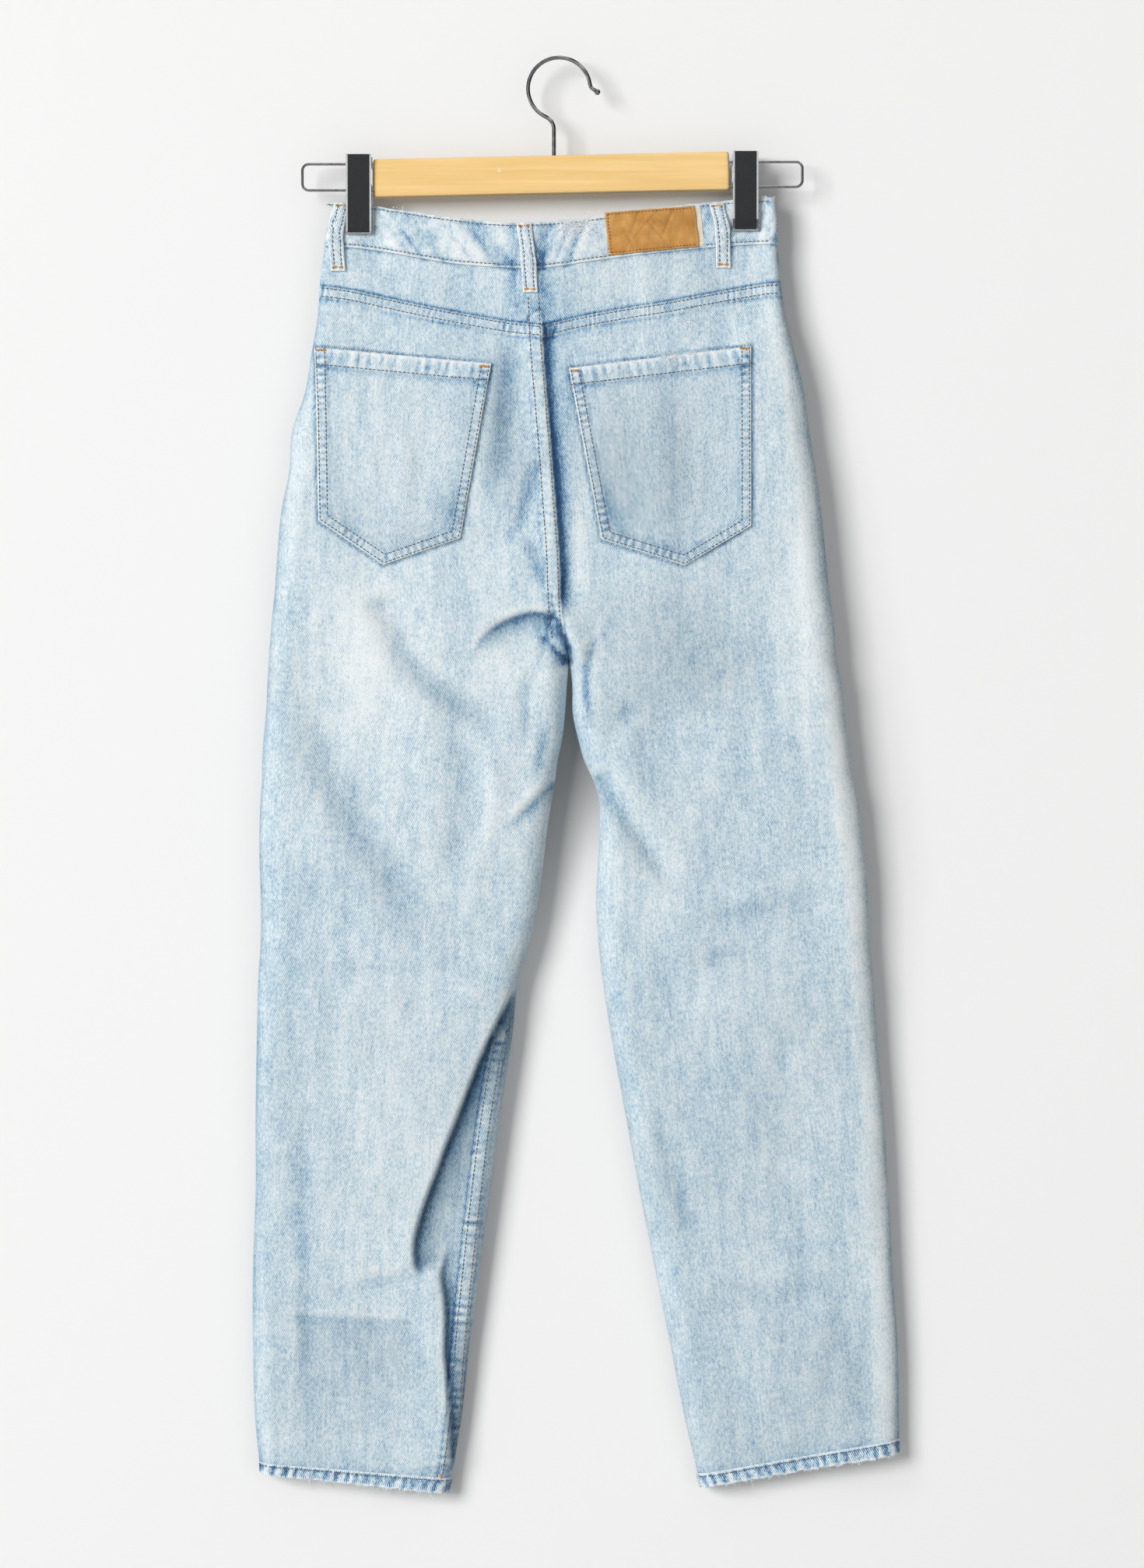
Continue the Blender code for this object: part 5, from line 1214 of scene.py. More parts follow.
def frontPanel(leg):
    # the front of a leg, which carries on round its inner edge as far as the inseam
    u, x, drop = frontGrid(leg)
    onBack = u < 0
    backs, fronts = [skinsOf(leg, face, x, drop, (0.0, cloth["denim"])) for face in ("back", "front")]
    skins = [np.where(onBack[..., None], *pair) for pair in zip(backs, fronts)]
    washOut = (np.where(onBack, sample(wash["back"], x, drop), washAt(leg, "front", x, drop)),
               np.where(onBack, sample(shade["back"], x, drop), sample(shade["front"], x, drop)))
    sewn("frontPanel_" + leg, "front_" + leg, skins, washOut, denim, leg=leg)


def bandEdge(leg, which, share):
    x = sideX(leg, 130.0) + share * (innerX(leg, "back", 130.0) - sideX(leg, 130.0))
    for _ in range(3):
        drop = bandAt(which, x)
        side, middle = sideX(leg, drop[0]), innerX(leg, "back", drop[-1])
        x = side + share * (middle - side)
    return x, bandAt(which, x)


def yokePiece(leg):
    # yoke from under the waistband to the seam that slants down to the middle
    share = acrossShares(np.array([[170.0]]), np.array([[8.0]]), np.array([[3.0]]), 100, 7)[0]
    topX, topDrop = bandEdge(leg, "bottom", share)
    lowSide, lowInner = yokeLine[leg]["drop"][0 if leg == "left" else -1], 206.0
    side, middle = sideX(leg, lowSide), innerX(leg, "back", lowInner)
    lowX = side + share * (middle - side)
    lowDrop = yokeAt(leg, lowX)
    down = np.linspace(0, 1, 30)[:, None]
    x, drop = topX + (lowX - topX) * down, topDrop + 0.1 + (lowDrop - 0.1 - topDrop) * down
    skins = skinsOf(leg, "back", x, drop, (0.0, cloth["denim"]), True)
    under = drop - bandAt("bottom", x)
    over = yokeAt(leg, x) - drop
    # painted shadow: dark lines just under the waistband and along the yoke's lower seam
    paintedShadowLines = 0.22 * bell(under, 1.6) + 0.30 * bell(over, 1.1)
    tones = (washAt(leg, "back", x, drop) - paintedShadowLines, sample(shade["back"], x, drop) + 0.3 * paintedShadowLines)
    sewn("yokePiece_" + leg, "yoke_" + leg, skins, tones, denim, leg=leg)


def waistBand():
    # back waistband from side to side, its edges rolled, its top frayed at one place
    halves = {"x": [], "drop": []}
    share = acrossShares(np.array([[170.0]]), np.array([[6.0]]), np.array([[2.0]]), 100, 7)[0]
    size = cloth["bandHeight"]
    down = edgeSpread(size, 1.4, 17)[:, None]
    for leg in ("left", "right"):
        topX, topDrop = bandEdge(leg, "top", share)
        lowX, lowDrop = bandEdge(leg, "bottom", share)
        x, drop = topX + (lowX - topX) * down, topDrop + (lowDrop - topDrop - 0.1) * down
        order = slice(None) if leg == "left" else slice(-2, None, -1)
        halves["x"].append(x[:, order])
        halves["drop"].append(drop[:, order])
    x, drop = [np.concatenate(halves[key], axis=1) for key in ("x", "drop")]
    rim = fromEnds(down, size)
    fall = rolled(rim, 1.1)
    frayed = bell(x - 11, 9.0) * bell(down * size, 7.0)
    ragged = 0.5 * noiseField((1, x.shape[1]), (1, 2.3), 5) * bell(down * size, 1.5)
    drop = drop + ragged + 2.2 * frayed
    proud = cloth["bandProud"]
    skins = skinsOf(None, "back", x, drop, (fall - proud, cloth["band"] - proud - fall), True)
    washOut = sample(wash["back"], x, drop) + 0.3 * bell(rim, 0.9) + 0.5 * frayed
    washOut = washOut - 0.12 * bell(rim - 3.2, 1.0)
    washOut = (washOut, sample(shade["back"], x, drop))
    sewn("waistBand", "waistband_back", skins, washOut, denim, leg="left")


def frontBand(leg):
    # half of the front waistband; the right half stands out over the left one at the button
    middle = cloth["flyMiddle"]
    side = sideX(leg, 128.0)
    first = side + legSign[leg] * 6.0 * (1 - np.cos(np.linspace(0, math.pi / 2, 8)))
    end = middle + cloth["flyUnderlap"] if leg == "left" else middle - cloth["flyOverlap"]
    x = np.concatenate([first, np.linspace(first[-1], end, 100)[1:]])[None, :]
    size = cloth["bandHeight"]
    share = edgeSpread(size, 1.4, 15)[:, None]
    drop = frontTop(x) + (size - 0.1) * share
    x = np.repeat(x, len(share), axis=0)
    x[:, :8] += sideX(leg, drop[:, :1]) - side
    drop = frontTop(x) + (size - 0.1) * share
    lift = np.zeros_like(x)
    if leg == "right":
        lift = (cloth["band"] + 0.3) * ease((middle + cloth["flyUnderlap"] + 20 - x) / 18.0)
    rim = fromEnds(share, size)
    lapEnd = np.abs(x - end)
    fall = np.maximum(rolled(rim, 1.1), rolled(lapEnd, 1.1))
    proud = cloth["bandProud"]
    skins = skinsOf(None, "front", x, drop, (fall - proud - lift, cloth["band"] - proud - lift - fall), True)
    washOut = sample(wash["front"], x, drop) + 0.28 * bell(np.minimum(rim, lapEnd), 0.9)
    sewn("frontBand_" + leg, "waistband_front_" + leg, skins, washOut, denim, leg=leg)


def pocketPoint(leg, across, down):
    # x and drop on a back pocket, straight between its five corners
    corner = backPockets[leg]
    mix = lambda a, b, t: a + (b - a) * t
    low = [
        np.where(
            across < pocketSpec["tipAt"],
            mix(corner["outerLow"][k], corner["tip"][k], across / pocketSpec["tipAt"]),
            mix(corner["tip"][k], corner["innerLow"][k], (across - pocketSpec["tipAt"]) / (1 - pocketSpec["tipAt"])),
        )
        for k in (0, 1)
    ]
    top = [mix(corner["outerTop"][k], corner["innerTop"][k], across) for k in (0, 1)]
    return mix(top[0], low[0], down), mix(top[1], low[1], down)


def pocketLift(x, drop):
    # how far the pocket's skin stands out over the panel
    return pocketSpec["lift"] + cloth["denim"] + sample(height["pocket"], x, drop)


def backPocket(leg):
    # patch pocket that lies on the panel, its four edges rolled
    wide, tall = pocketSpec["wide"], pocketSpec["tall"]
    across, down = edgeSpread(wide, 1.3, 76)[None, :], edgeSpread(tall, 1.3, 84)[:, None]
    x, drop = pocketPoint(leg, across, down)
    rim = np.minimum(fromEnds(across, wide), fromEnds(down, tall))
    fall = rolled(rim, 1.0)
    outer = place(leg, "back", x, drop, fall - pocketLift(x, drop))
    inner = place(leg, "back", x, drop, -0.1 + 0.0 * x)
    washOut = (sample(wash["pocket"], x, drop), 0.06 + sample(shade["pocket"], x, drop))
    sewn("backPocket_" + leg, "pocket_back_" + leg, (outer, inner), washOut, denim, leg=leg)


facingSpec = {"beyond": 9.0, "inset": 2.8, "deeper": 1.8}


def pocketFacing(leg):
    # the facing fills the hand pocket's cut-away corner and runs on under the panel
    sign = legSign[leg]
    high = cloth["mouthHeight"] + facingSpec["beyond"]
    topSide = float(frontTop(sideX(leg, 150.0))) + cloth["bandHeight"] + 0.1
    down = np.linspace(0, 1, 40)
    far = topSide + high * np.sin(down * math.pi / 2)
    cut = np.sqrt(np.maximum(1 - ((far - topSide) / high) ** 2, 0.003)) * (cloth["mouthWidth"] + facingSpec["beyond"])
    share = np.concatenate([0.08 * np.linspace(0, 1, 12) ** 2, np.linspace(0.08, 1, 34)[1:]])[None, :]
    x = sideX(leg, far)[:, None] + sign * cut[:, None] * share
    drop = np.repeat(far[:, None], share.shape[1], axis=1)
    drop = drop + (frontTop(x) + cloth["bandHeight"] + 0.1 - topSide) * (1 - down[:, None])
    along = ((far - topSide) / cloth["mouthHeight"])[:, None]
    behind = ease(cut[:, None] * share / (0.6 * mouthWidth(along) + 0.5))
    inset = facingSpec["inset"] * np.maximum(behind, ease((along - 0.86) / 0.14))
    inset = inset + facingSpec["deeper"] * ease((along - 0.92) / 0.12)
    skins = skinsOf(leg, "front", x, drop, (inset, inset + cloth["denim"]))
    tones = sample(wash["front"], x, drop) - 0.06
    sewn("pocketFacing_" + leg, "pocket_front_" + leg, skins, tones, denim, leg=leg)


hemSpec = {"tall": 9.0, "pitch": 8.5, "slant": 2.2, "ragged": 0.8}


def hemGrid(leg, columns=110):
    # the ring's x and drop, over the front from its inner edge and back over the back
    line = hemLine[leg]
    share = edgeSpread(hemSpec["tall"], 1.2, 9)[:, None]
    sideDrop = line["side"] + (line["sideLow"] - line["side"]) * share
    innerDrop = line["inner"] + (line["innerLow"] - line["inner"]) * share
    u = np.linspace(0, 1, columns)[None, :]
    xs, drops, faces = [], [], []
    for face in ("front", "back"):
        x = loopColumns(leg, (sideDrop + innerDrop) / 2, u)
        drop = innerDrop + (sideDrop - innerDrop) * (x - x[:, :1]) / (x[:, -1:] - x[:, :1])
        x = loopColumns(leg, drop, u)
        order = slice(None) if face == "front" else slice(-2, 0, -1)
        xs.append(x[:, order])
        drops.append(drop[:, order])
        faces.append(np.full(x[:, order].shape, face == "back"))
    return share, np.concatenate(xs, 1), np.concatenate(drops, 1), np.concatenate(faces, 1)


def hemRing(leg):
    # turned-up hem, roped by its stitching: slanting waves that are white on top and blue between
    share, x, drop, onBack = hemGrid(leg)
    far = np.concatenate([[0], np.cumsum(np.hypot(np.diff(x[3]), np.diff(drop[3])))])[None, :]
    wave = puckerWave(far, hemSpec["pitch"], hemSpec["slant"] * share)
    fromTop, fromLow = share * hemSpec["tall"], (1 - share) * hemSpec["tall"]
    ragged = hemSpec["ragged"] * noiseField((1, x.shape[1]), (1, 1.5), 15) * bell(fromLow, 1.6)
    drop = drop + ragged
    lift = cloth["bandProud"] * ease((fromTop + 0.4) / 2.0) + 0.32 * wave * ease(fromTop / 2.0) * ease(fromLow / 1.2)
    outerIn, innerIn = rolled(fromLow, 1.1) - lift, cloth["band"] - cloth["bandProud"] - rolled(fromLow, 1.1)
    skins = []
    for inward in (outerIn, innerIn):
        front = place(leg, "front", x, drop, inward, True)
        back = place(leg, "back", x, drop, inward, True)
        skins.append(np.where(onBack[..., None], back, front))
    washOut = 0.50 + 0.46 * wave * ease(fromTop / 2.5) + 0.44 * bell(fromLow, 1.3)
    washOut = washOut + 0.36 * bell(fromTop, 1.0) - 0.16 * bell(fromTop - 2.6, 0.9)
    sewn("hemRing_" + leg, "hem_" + leg, skins, washOut, denimEdge, ring=True, leg=leg)


for leg in ("left", "right"):
    backPanel(leg)
    frontPanel(leg)
    yokePiece(leg)
    frontBand(leg)
    backPocket(leg)
    pocketFacing(leg)
    hemRing(leg)
waistBand()
print("panels, bands, pockets and hems sewn")


beltLoops = {
    "belt_loop_left": {"face": "back", "path": ((-166.6, 111.0), (-171.5, 133.0), (-170.0, 164.0))},
    "belt_loop_middle": {"face": "back", "path": ((-27.0, 127.5), (-24.0, 152.0), (-22.0, 181.0))},
    "belt_loop_right": {"face": "back", "path": ((121.0, 112.0), (125.0, 130.0), (126.5, 161.5))},
    "belt_loop_front_left": {"face": "front", "path": ((-98.0, 130.0), (-99.0, 152.0), (-100.0, 179.0))},
    "belt_loop_front_right": {"face": "front", "path": ((100.0, 126.0), (101.0, 148.0), (102.0, 175.0))},
}
loopSpec = {"width": 11.5, "long": 50.0, "thick": 1.5, "rows": 3.0}


def loopPoints(spec, across, steps, extra):
    # across in mm from the loop's middle; the strap stands off the waistband between its sewn ends
    path = spec["path"]
    x = smooth((0.0, 0.45, 1.0), [p[0] for p in path], steps) + across
    drop = smooth((0.0, 0.45, 1.0), [p[1] for p in path], steps) + 0.0 * across
    back = spec["face"] == "back"
    top = bandAt("top", x) if back else frontTop(x)
    low = bandAt("bottom", x) if back else frontTop(x) + cloth["bandHeight"]
    drop = np.maximum(drop, top + 0.5)
    overBand = ease((low + 5 - drop) / 5)
    off = 0.7 + cloth["bandProud"] * overBand + np.sin(math.pi * steps) ** 2 * ease(4 * steps)
    return placeBoth(spec["face"], x, drop, -off - extra), x, drop


def beltLoop(name, spec):
    # narrow strap with a ridge along its middle and sunk rows beside it
    wide = loopSpec["width"]
    across = (edgeSpread(wide, 1.0, 13) - 0.5)[None, :] * wide
    steps = edgeSpread(loopSpec["long"], 1.0, 44)[:, None]
    rim = np.minimum(wide / 2 - np.abs(across), fromEnds(steps, loopSpec["long"]))
    ridge = 0.35 * bell(across, 1.6) - 0.18 * bell(np.abs(across) - loopSpec["rows"], 0.7)
    noise = 0.1 * noiseField((len(steps), across.shape[1]), (5, 4), 7)
    skin = loopSpec["thick"] + ridge + noise - rolled(rim, 1.0)
    outer, x, drop = loopPoints(spec, across, steps, skin)
    inner = loopPoints(spec, across, steps, np.zeros_like(skin))[0]
    washOut = 0.74 + 0.22 * bell(rim, 0.9) + 0.3 * ridge + 0.6 * noise + 0.05 * np.sin(steps * 40)
    sewn("strap_" + name, name, (outer, inner), washOut, denimEdge, leg="left")


patchSpec = {
    "corners": ((35.0, 119.8), (104.0, 113.8), (107.5, 145.0), (38.7, 152.5)),
    "wide": 70.0,
    "tall": 33.0,
    "lift": 1.2,
    "thick": 1.2,
    "tape": 4.2,
    "under": 8.0,
}


def patchPlace(across, down):
    weights = ((1 - across) * (1 - down), across * (1 - down), across * down, (1 - across) * down)
    return [sum(w * corner[k] for w, corner in zip(weights, patchSpec["corners"])) for k in (0, 1)]


def patchPiece():
    # leather patch: seeded unevenness, four creases and dents along its stitched edges
    wide, tall = patchSpec["wide"], patchSpec["tall"]
    across, down = edgeSpread(wide, 0.8, 90)[None, :], edgeSpread(tall, 0.8, 42)[:, None]
    x, drop = patchPlace(across, down)
    rim = np.minimum(fromEnds(across, wide), fromEnds(down, tall))
    shape = (down.shape[0], across.shape[1])
    creases = 0.22 * noiseField(shape, (9, 13), 3) + 0.1 * noiseField(shape, (4, 5), 4)
    for a, d, tilt in ((0.42, 0.4, 1.6), (0.58, 0.62, -1.1), (0.7, 0.3, 0.8), (0.25, 0.7, -0.6)):
        creases = creases - 0.5 * bell(across - a + tilt * (down - d) * 0.3, 0.018) * bell(down - d, 0.4)
    dents = 0.22 * bell(rim - 1.8, 0.6)
    skin = patchSpec["lift"] + patchSpec["thick"] + creases * ease(rim / 3) - dents - rolled(rim, 0.5)
    outer = placeBoth("back", x, drop, -skin)
    inner = placeBoth("back", x, drop, -patchSpec["lift"] + 0.0 * skin)
    sewn("leatherPatch", "patch", (outer, inner), 0.5, leather, leg="right")


def tapePiece():
    # cream tape that shows beside the patch
    wide = patchSpec["tape"] + patchSpec["under"]
    across = 1.0 + (edgeSpread(wide, 0.5, 12)[None, :] * wide - patchSpec["under"]) / 69.0
    down = edgeSpread(32.0, 0.5, 24)[:, None]
    x, drop = patchPlace(across, down)
    rim = fromEnds(down, 32.0) + 0.0 * across
    skin = 1.15 + 0.04 * np.sin(down * 70) - rolled(rim, 0.4)
    outer = placeBoth("back", x, drop, -skin)
    inner = placeBoth("back", x, drop, -0.2 + 0.0 * skin)
    sewn("creamTape", None, (outer, inner), 0.5, tapeCloth, leg="right")


for name, spec in beltLoops.items():
    beltLoop(name, spec)
patchPiece()
tapePiece()
print("belt loops and patch made")

threadLook = {"pitch": 3.3, "stitch": 2.6, "wide": 0.40, "rise": 0.32, "tackPitch": 0.62, "tackStitch": 2.0}
clothSpots = {}


def keepStitches(group, pointAt, starts, ends, wide=threadLook["wide"], rise=threadLook["rise"]):
    # six-sided stitches that dive into the cloth at both ends; pointAt gives a place, so far out of the cloth
    at = np.array([0.0, 0.28, 0.72, 1.0])[None, :, None]
    line = starts[:, None, :] * (1 - at) + ends[:, None, :] * at
    foot, above = pointAt(line[..., 0], line[..., 1], 0.0), pointAt(line[..., 0], line[..., 1], 0.5)
    normal = above - foot
    normal /= np.linalg.norm(normal, axis=-1, keepdims=True)
    along = np.gradient(foot, axis=1)
    across = np.cross(along, normal)
    across /= np.linalg.norm(across, axis=-1, keepdims=True) + 1e-12
    centre = foot + normal * (np.array([-0.10, 0.20, 0.20, -0.10])[None, :, None] * mm)
    size = np.array([0.55, 1.0, 1.0, 0.55])[None, :, None, None]
    turn = np.arange(6) * math.pi / 3
    ring = np.cos(turn)[:, None] * across[..., None, :] * wide + np.sin(turn)[:, None] * normal[..., None, :] * rise
    points = centre[..., None, :] + ring * size * mm
    clothSpots.setdefault(group, []).append(points.reshape(len(starts), 24, 3))


def tubeQuads(rings, sides):
    # quads of one tube with its two ends closed
    r, c = np.meshgrid(np.arange(rings - 1), np.arange(sides), indexing="ij")
    n = (c + 1) % sides
    body = np.stack([r * sides + c, r * sides + n, (r + 1) * sides + n, (r + 1) * sides + c], -1).reshape(-1, 4)
    fan = np.array([(0, k, k + 1, k + 2) for k in range(1, sides - 1, 2)])
    return np.concatenate([body, fan[:, ::-1], fan + (rings - 1) * sides])


def manyQuads(quads, count, points):
    # the same quads for many tubes of as many points each
    return (quads[None] + np.arange(count)[:, None, None] * points).reshape(-1, 4)


def putStitches(group, material):
    points = np.concatenate(clothSpots.pop(group))
    putMesh(group, points, manyQuads(tubeQuads(4, 6), len(points), 24), material, sharp=80.0)


def marksAlong(path, pitch, length, straight=False):
    # starts and ends of the stitches along a path, a little uneven in length
    line = curve(path, 0.5, straight)
    far = lengthAlong(line)
    first = np.arange(0.3, far[-1] - length, pitch)
    first = first + rng.uniform(-0.12, 0.12, len(first))
    return pointsAt(first, far, line), pointsAt(first + length * rng.uniform(0.9, 1.06, len(first)), far, line)


def onCloth(face, lift=0.0):
    # gives the place of a stitch, so far out of the cloth or of what lies on it
    def pointAt(x, drop, out):
        extra = lift(x, drop) if callable(lift) else lift
        return placeBoth(face, x, drop, -extra - out)
    return pointAt


def sewRow(group, face, path, lift=0.0, straight=False):
    starts, ends = marksAlong(path, threadLook["pitch"], threadLook["stitch"], straight)
    keepStitches(group, onCloth(face, lift), starts, ends)


def tackAcross(group, pointAt, centre, direction, length, stitch=threadLook["tackStitch"]):
    # bar tack: short stitches side by side, across its length
    direction = np.array(direction) / np.linalg.norm(direction)
    side = np.array([-direction[1], direction[0]])
    at = np.arange(-length / 2, length / 2, threadLook["tackPitch"])
    spots = np.array(centre) + direction * at[:, None] + side * rng.uniform(-0.25, 0.25, (len(at), 1))
    keepStitches(group, pointAt, spots - side * stitch / 2, spots + side * stitch / 2, 0.34, 0.26)


def insetPath(corners, distance):
    # open chain of straight edges moved inward: each corner goes to where its moved neighbours meet
    corners = np.array(corners)
    edge = np.diff(corners, axis=0)
    edge /= np.linalg.norm(edge, axis=1, keepdims=True)
    normal = np.stack([-edge[:, 1], edge[:, 0]], axis=1)
    middle = corners.mean(0)
    if ((middle - corners[0]) * normal[0]).sum() < 0:
        normal = -normal
    moved = [corners[0] + normal[0] * distance]
    for k in range(1, len(edge)):
        base, other = corners[k] + normal[k - 1] * distance, corners[k] + normal[k] * distance
        solve = np.linalg.solve(np.stack([edge[k - 1], -edge[k]], axis=1), other - base)
        moved.append(base + edge[k - 1] * solve[0])
    moved.append(corners[-1] + normal[-1] * distance)
    return [tuple(point) for point in moved]


def sewBack():
    # rows along the waistband, yokes, seat seam, inseam, pockets and patch, and bar tacks
    for edge, down in (("top", 2.5), ("bottom", -2.6)):
        path = [(x, float(bandAt(edge, x)) + down) for x in np.arange(-179, 168, 6.0)]
        sewRow("backStitches", "back", path, cloth["bandProud"])
    for leg in ("left", "right"):
        for below in (1.9, 8.3):
            sewRow("backStitches", "back", yokePath(leg, below))
    for away in (2.2, 10.2):
        sewRow("backStitches", "back", [(x - away, d) for x, d in seatPath(184, 448, 14)])
    for away in (3.2, 10.2):
        path = [(x + away, d) for x, d in inseamPath(740, 1090, 0.0, 16)]
        path = [(x, d) for x, d in path if x < float(innerX("left", "back", d)) - 1.0]
        sewRow("backStitches", "back", path)
    for leg in ("left", "right"):
        chain = [backPockets[leg][name] for name in ("outerTop", "outerLow", "tip", "innerLow", "innerTop")]
        for rowIn in pocketSpec["rowIn"]:
            sewRow("backStitches", "back", insetPath(chain, rowIn), pocketLift, True)
        start, end = insetPath([chain[0], chain[-1]], 0.0)
        low = pocketSpec["band"]
        sewRow("backStitches", "back", [(start[0] + 1, start[1] + low), (end[0] - 1, end[1] + low)], pocketLift, True)
        for corner, inward in ((chain[0], 1.0), (chain[-1], -1.0)):
            shift = inward * legSign[leg]
            centre = (corner[0] + 5.0 * shift, corner[1] + 2.2)
            tackAcross("backTacks", onCloth("back", pocketLift), centre, (1.0, 0.06), 7.0)
    tackAcross("backTacks", onCloth("back"), (-90.5, 1091.5), (0.2, 1.0), 5.0)
    top = patchSpec["lift"] + patchSpec["thick"]
    onPatch = lambda across, down, out: placeBoth("back", *patchPlace(across, down), -top - out)
    for path in ([(0.026, 0.04), (0.026, 0.94)], [(0.03, 0.945), (0.97, 0.945)], [(0.03, 0.05), (0.97, 0.05)]):
        marks = np.array(path)
        span = np.hypot(*((marks[1] - marks[0]) * (69.0, 33.0)))
        share = np.arange(0, 1, 2.6 / span)[:, None]
        starts = marks[0] + (marks[1] - marks[0]) * share
        keepStitches("patchStitches", onPatch, starts, starts + (marks[1] - marks[0]) * 1.5 / span, 0.28, 0.22)


def sewHems():
    for leg in ("left", "right"):
        line = hemLine[leg]
        for face in ("back", "front"):
            side, inner = float(sideX(leg, line["side"])), float(innerX(leg, face, line["inner"]))
            sign = legSign[leg]
            path = [(side + sign * 1.5, line["side"] + 2.1), (inner - sign * 1.5, line["inner"] + 2.1)]
            starts, ends = marksAlong(path, threadLook["pitch"], threadLook["stitch"], True)
            pointAt = lambda x, drop, out, leg=leg, face=face: place(leg, face, x, drop, -0.8 - out, True)
            keepStitches("hemStitches", pointAt, starts, ends)


def sewLoops():
    for name, spec in beltLoops.items():
        pointAt = lambda across, step, out: loopPoints(spec, across, step / 50.0, loopSpec["thick"] - 0.05 + out)[0]
        for across in (-loopSpec["rows"], loopSpec["rows"]):
            starts, ends = marksAlong([(across, 1.5), (across, 48.5)], 3.0, 2.3, True)
            keepStitches("loopStitches", pointAt, starts, ends)
        for step in (2.2, 47.6):
            tackAcross("loopTacks", pointAt, (0.0, step), (1.0, 0.0), 8.6)


def sewFront():
    # rows round the front waistband, the fly, the hand pockets and down the sides, and two bar tacks
    size, proud = cloth["bandHeight"], cloth["bandProud"]
    for leg, first, last in (("left", -178, 3), ("right", -8, 162)):
        for down in (2.5, size - 2.6):
            path = [(x, float(frontTop(x)) + down) for x in np.linspace(first, last, 24)]
            lap = lambda x, drop: proud + (cloth["band"] + 0.3) * ease((cloth["flyMiddle"] + 35 - x) / 18.0)
            sewRow("frontStitches", "front", path, lap if leg == "right" else proud)
    middle = cloth["flyMiddle"]
    for away in (32.0, 38.0):
        path = [(middle + away, 168), (middle + away - 1, 225), (middle + away - 3, 280), (middle + away * 0.7, 306),
                (middle + 4, 322 + (away - 32) * 0.9)]
        sewRow("frontStitches", "front", path)
    for away in (2.0, 8.0):
        sewRow("frontStitches", "front", [(middle + away, 330), (7 + away, 380), (7.5 + away, 446)])
    for leg in ("left", "right"):
        _, x, drop = frontGrid(leg)
        for column in (-3, -7):
            rows = range(0, 30, 3)
            sewRow("frontStitches", "front", [(float(x[r, column]), float(drop[r, column])) for r in rows])
        edge = [(float(innerX(leg, "front", d)) - legSign[leg] * 5.5, d) for d in np.linspace(480, 1080, 16)]
        sewRow("frontStitches", "front", edge)
    tackAcross("frontTacks", onCloth("front"), (middle + 30, 303), (1.0, -1.0), 8.0)
    tackAcross("frontTacks", onCloth("front"), (middle + 5, 321), (0.0, 1.0), 8.0)


sewBack()
sewHems()
sewLoops()
sewFront()
for group, material in (
    ("backStitches", brownThread), ("patchStitches", patchThread), ("hemStitches", brownThread),
    ("loopStitches", brownThread), ("frontStitches", brownThread), ("backTacks", tackThread),
    ("loopTacks", tackThread), ("frontTacks", tackThread),
):
    putStitches(group, material)
print("seams stitched")


# a frayed edge: how many ends, the longest, how far they start from the edge, the way they point, the edge
Fray = namedtuple("Fray", "count length spread way path")
frays = {
    "waistBlob": Fray(170, 7.0, 10.0, 0.0, ((2, 125.5), (22, 124.5))),
    "waistTop": Fray(90, 1.6, 0.6, -1.0, ((-150, 111.5), (-60, 123.8), (60, 117.0))),
    "waistCorner": Fray(26, 2.4, 1.0, -1.0, ((154, 107.6), (165, 107.4))),
    "pocketLeft": Fray(90, 1.9, 0.8, -0.6, ((-186, 223.8), (-53, 236.2))),
    "pocketRight": Fray(110, 2.2, 1.0, -0.6, ((146, 222.8), (9, 239.6))),
    "pocketSpot": Fray(40, 4.5, 4.0, -0.3, ((76, 231), (92, 229))),
    "yokeSpotA": Fray(24, 4.0, 3.0, 0.4, ((28, 207), (34, 221))),
    "yokeSpotB": Fray(30, 4.0, 4.0, 0.3, ((92, 198), (108, 212))),
}
hemFray = {"count": 130, "longShare": 0.08, "long": (4, 10), "short": (0.8, 2.8)}
strandWide = 0.26


def strandMesh(name, starts, heading, length, bend):
    # thin four-sided strands: straight heading plus a bend that grows with the square of the length
    t = np.linspace(0, 1, 7)[None, :, None]
    length = length[:, None, None] * mm
    line = starts[:, None, :] + heading[:, None, :] * t * length + bend[:, None, :] * (t * t) * length
    along = np.gradient(line, axis=1)
    side = np.cross(along, np.array([0.0, 1.0, 0.02]))
    side /= np.linalg.norm(side, axis=-1, keepdims=True) + 1e-12
    up = np.cross(side, along)
    up /= np.linalg.norm(up, axis=-1, keepdims=True) + 1e-12
    turn = np.arange(4) * math.pi / 2
    thin = (1 - 0.6 * t[..., None]) * strandWide * mm
    ring = (np.cos(turn)[:, None] * side[..., None, :] + np.sin(turn)[:, None] * up[..., None, :]) * thin
    putMesh(name, line[..., None, :] + ring, manyQuads(tubeQuads(7, 4), len(starts), 28), whiteThread, sharp=80.0)


def frayAt(name, spec):
    # ends start at random spots of the edge and bend away; those at a pocket start on its skin
    line = curve(spec.path, 0.5, True)
    n = spec.count
    spots = line[rng.integers(0, len(line), n)] + rng.normal(0, 0.4, (n, 2))
    spots[:, 1] += rng.uniform(0, 1, n) * spec.spread
    lift = pocketLift(spots[:, 0], spots[:, 1]) if "pocket" in name else cloth["bandProud"] if "waist" in name else 0.0
    starts = placeBoth("back", spots[:, 0], spots[:, 1], -(lift + rng.uniform(0.0, 0.3, n)))
    heading = np.stack([
        rng.normal(0, 0.8, n), -np.abs(rng.normal(0.12, 0.10, n)), -spec.way + rng.normal(0, 0.6, n)], 1)
    bend = np.stack([rng.normal(0, 0.7, n), rng.uniform(-0.15, 0.05, n), rng.normal(-0.3, 0.5, n)], 1)
    strandMesh("fray_" + name, starts, heading, spec.length * rng.uniform(0.35, 1.0, n), bend)


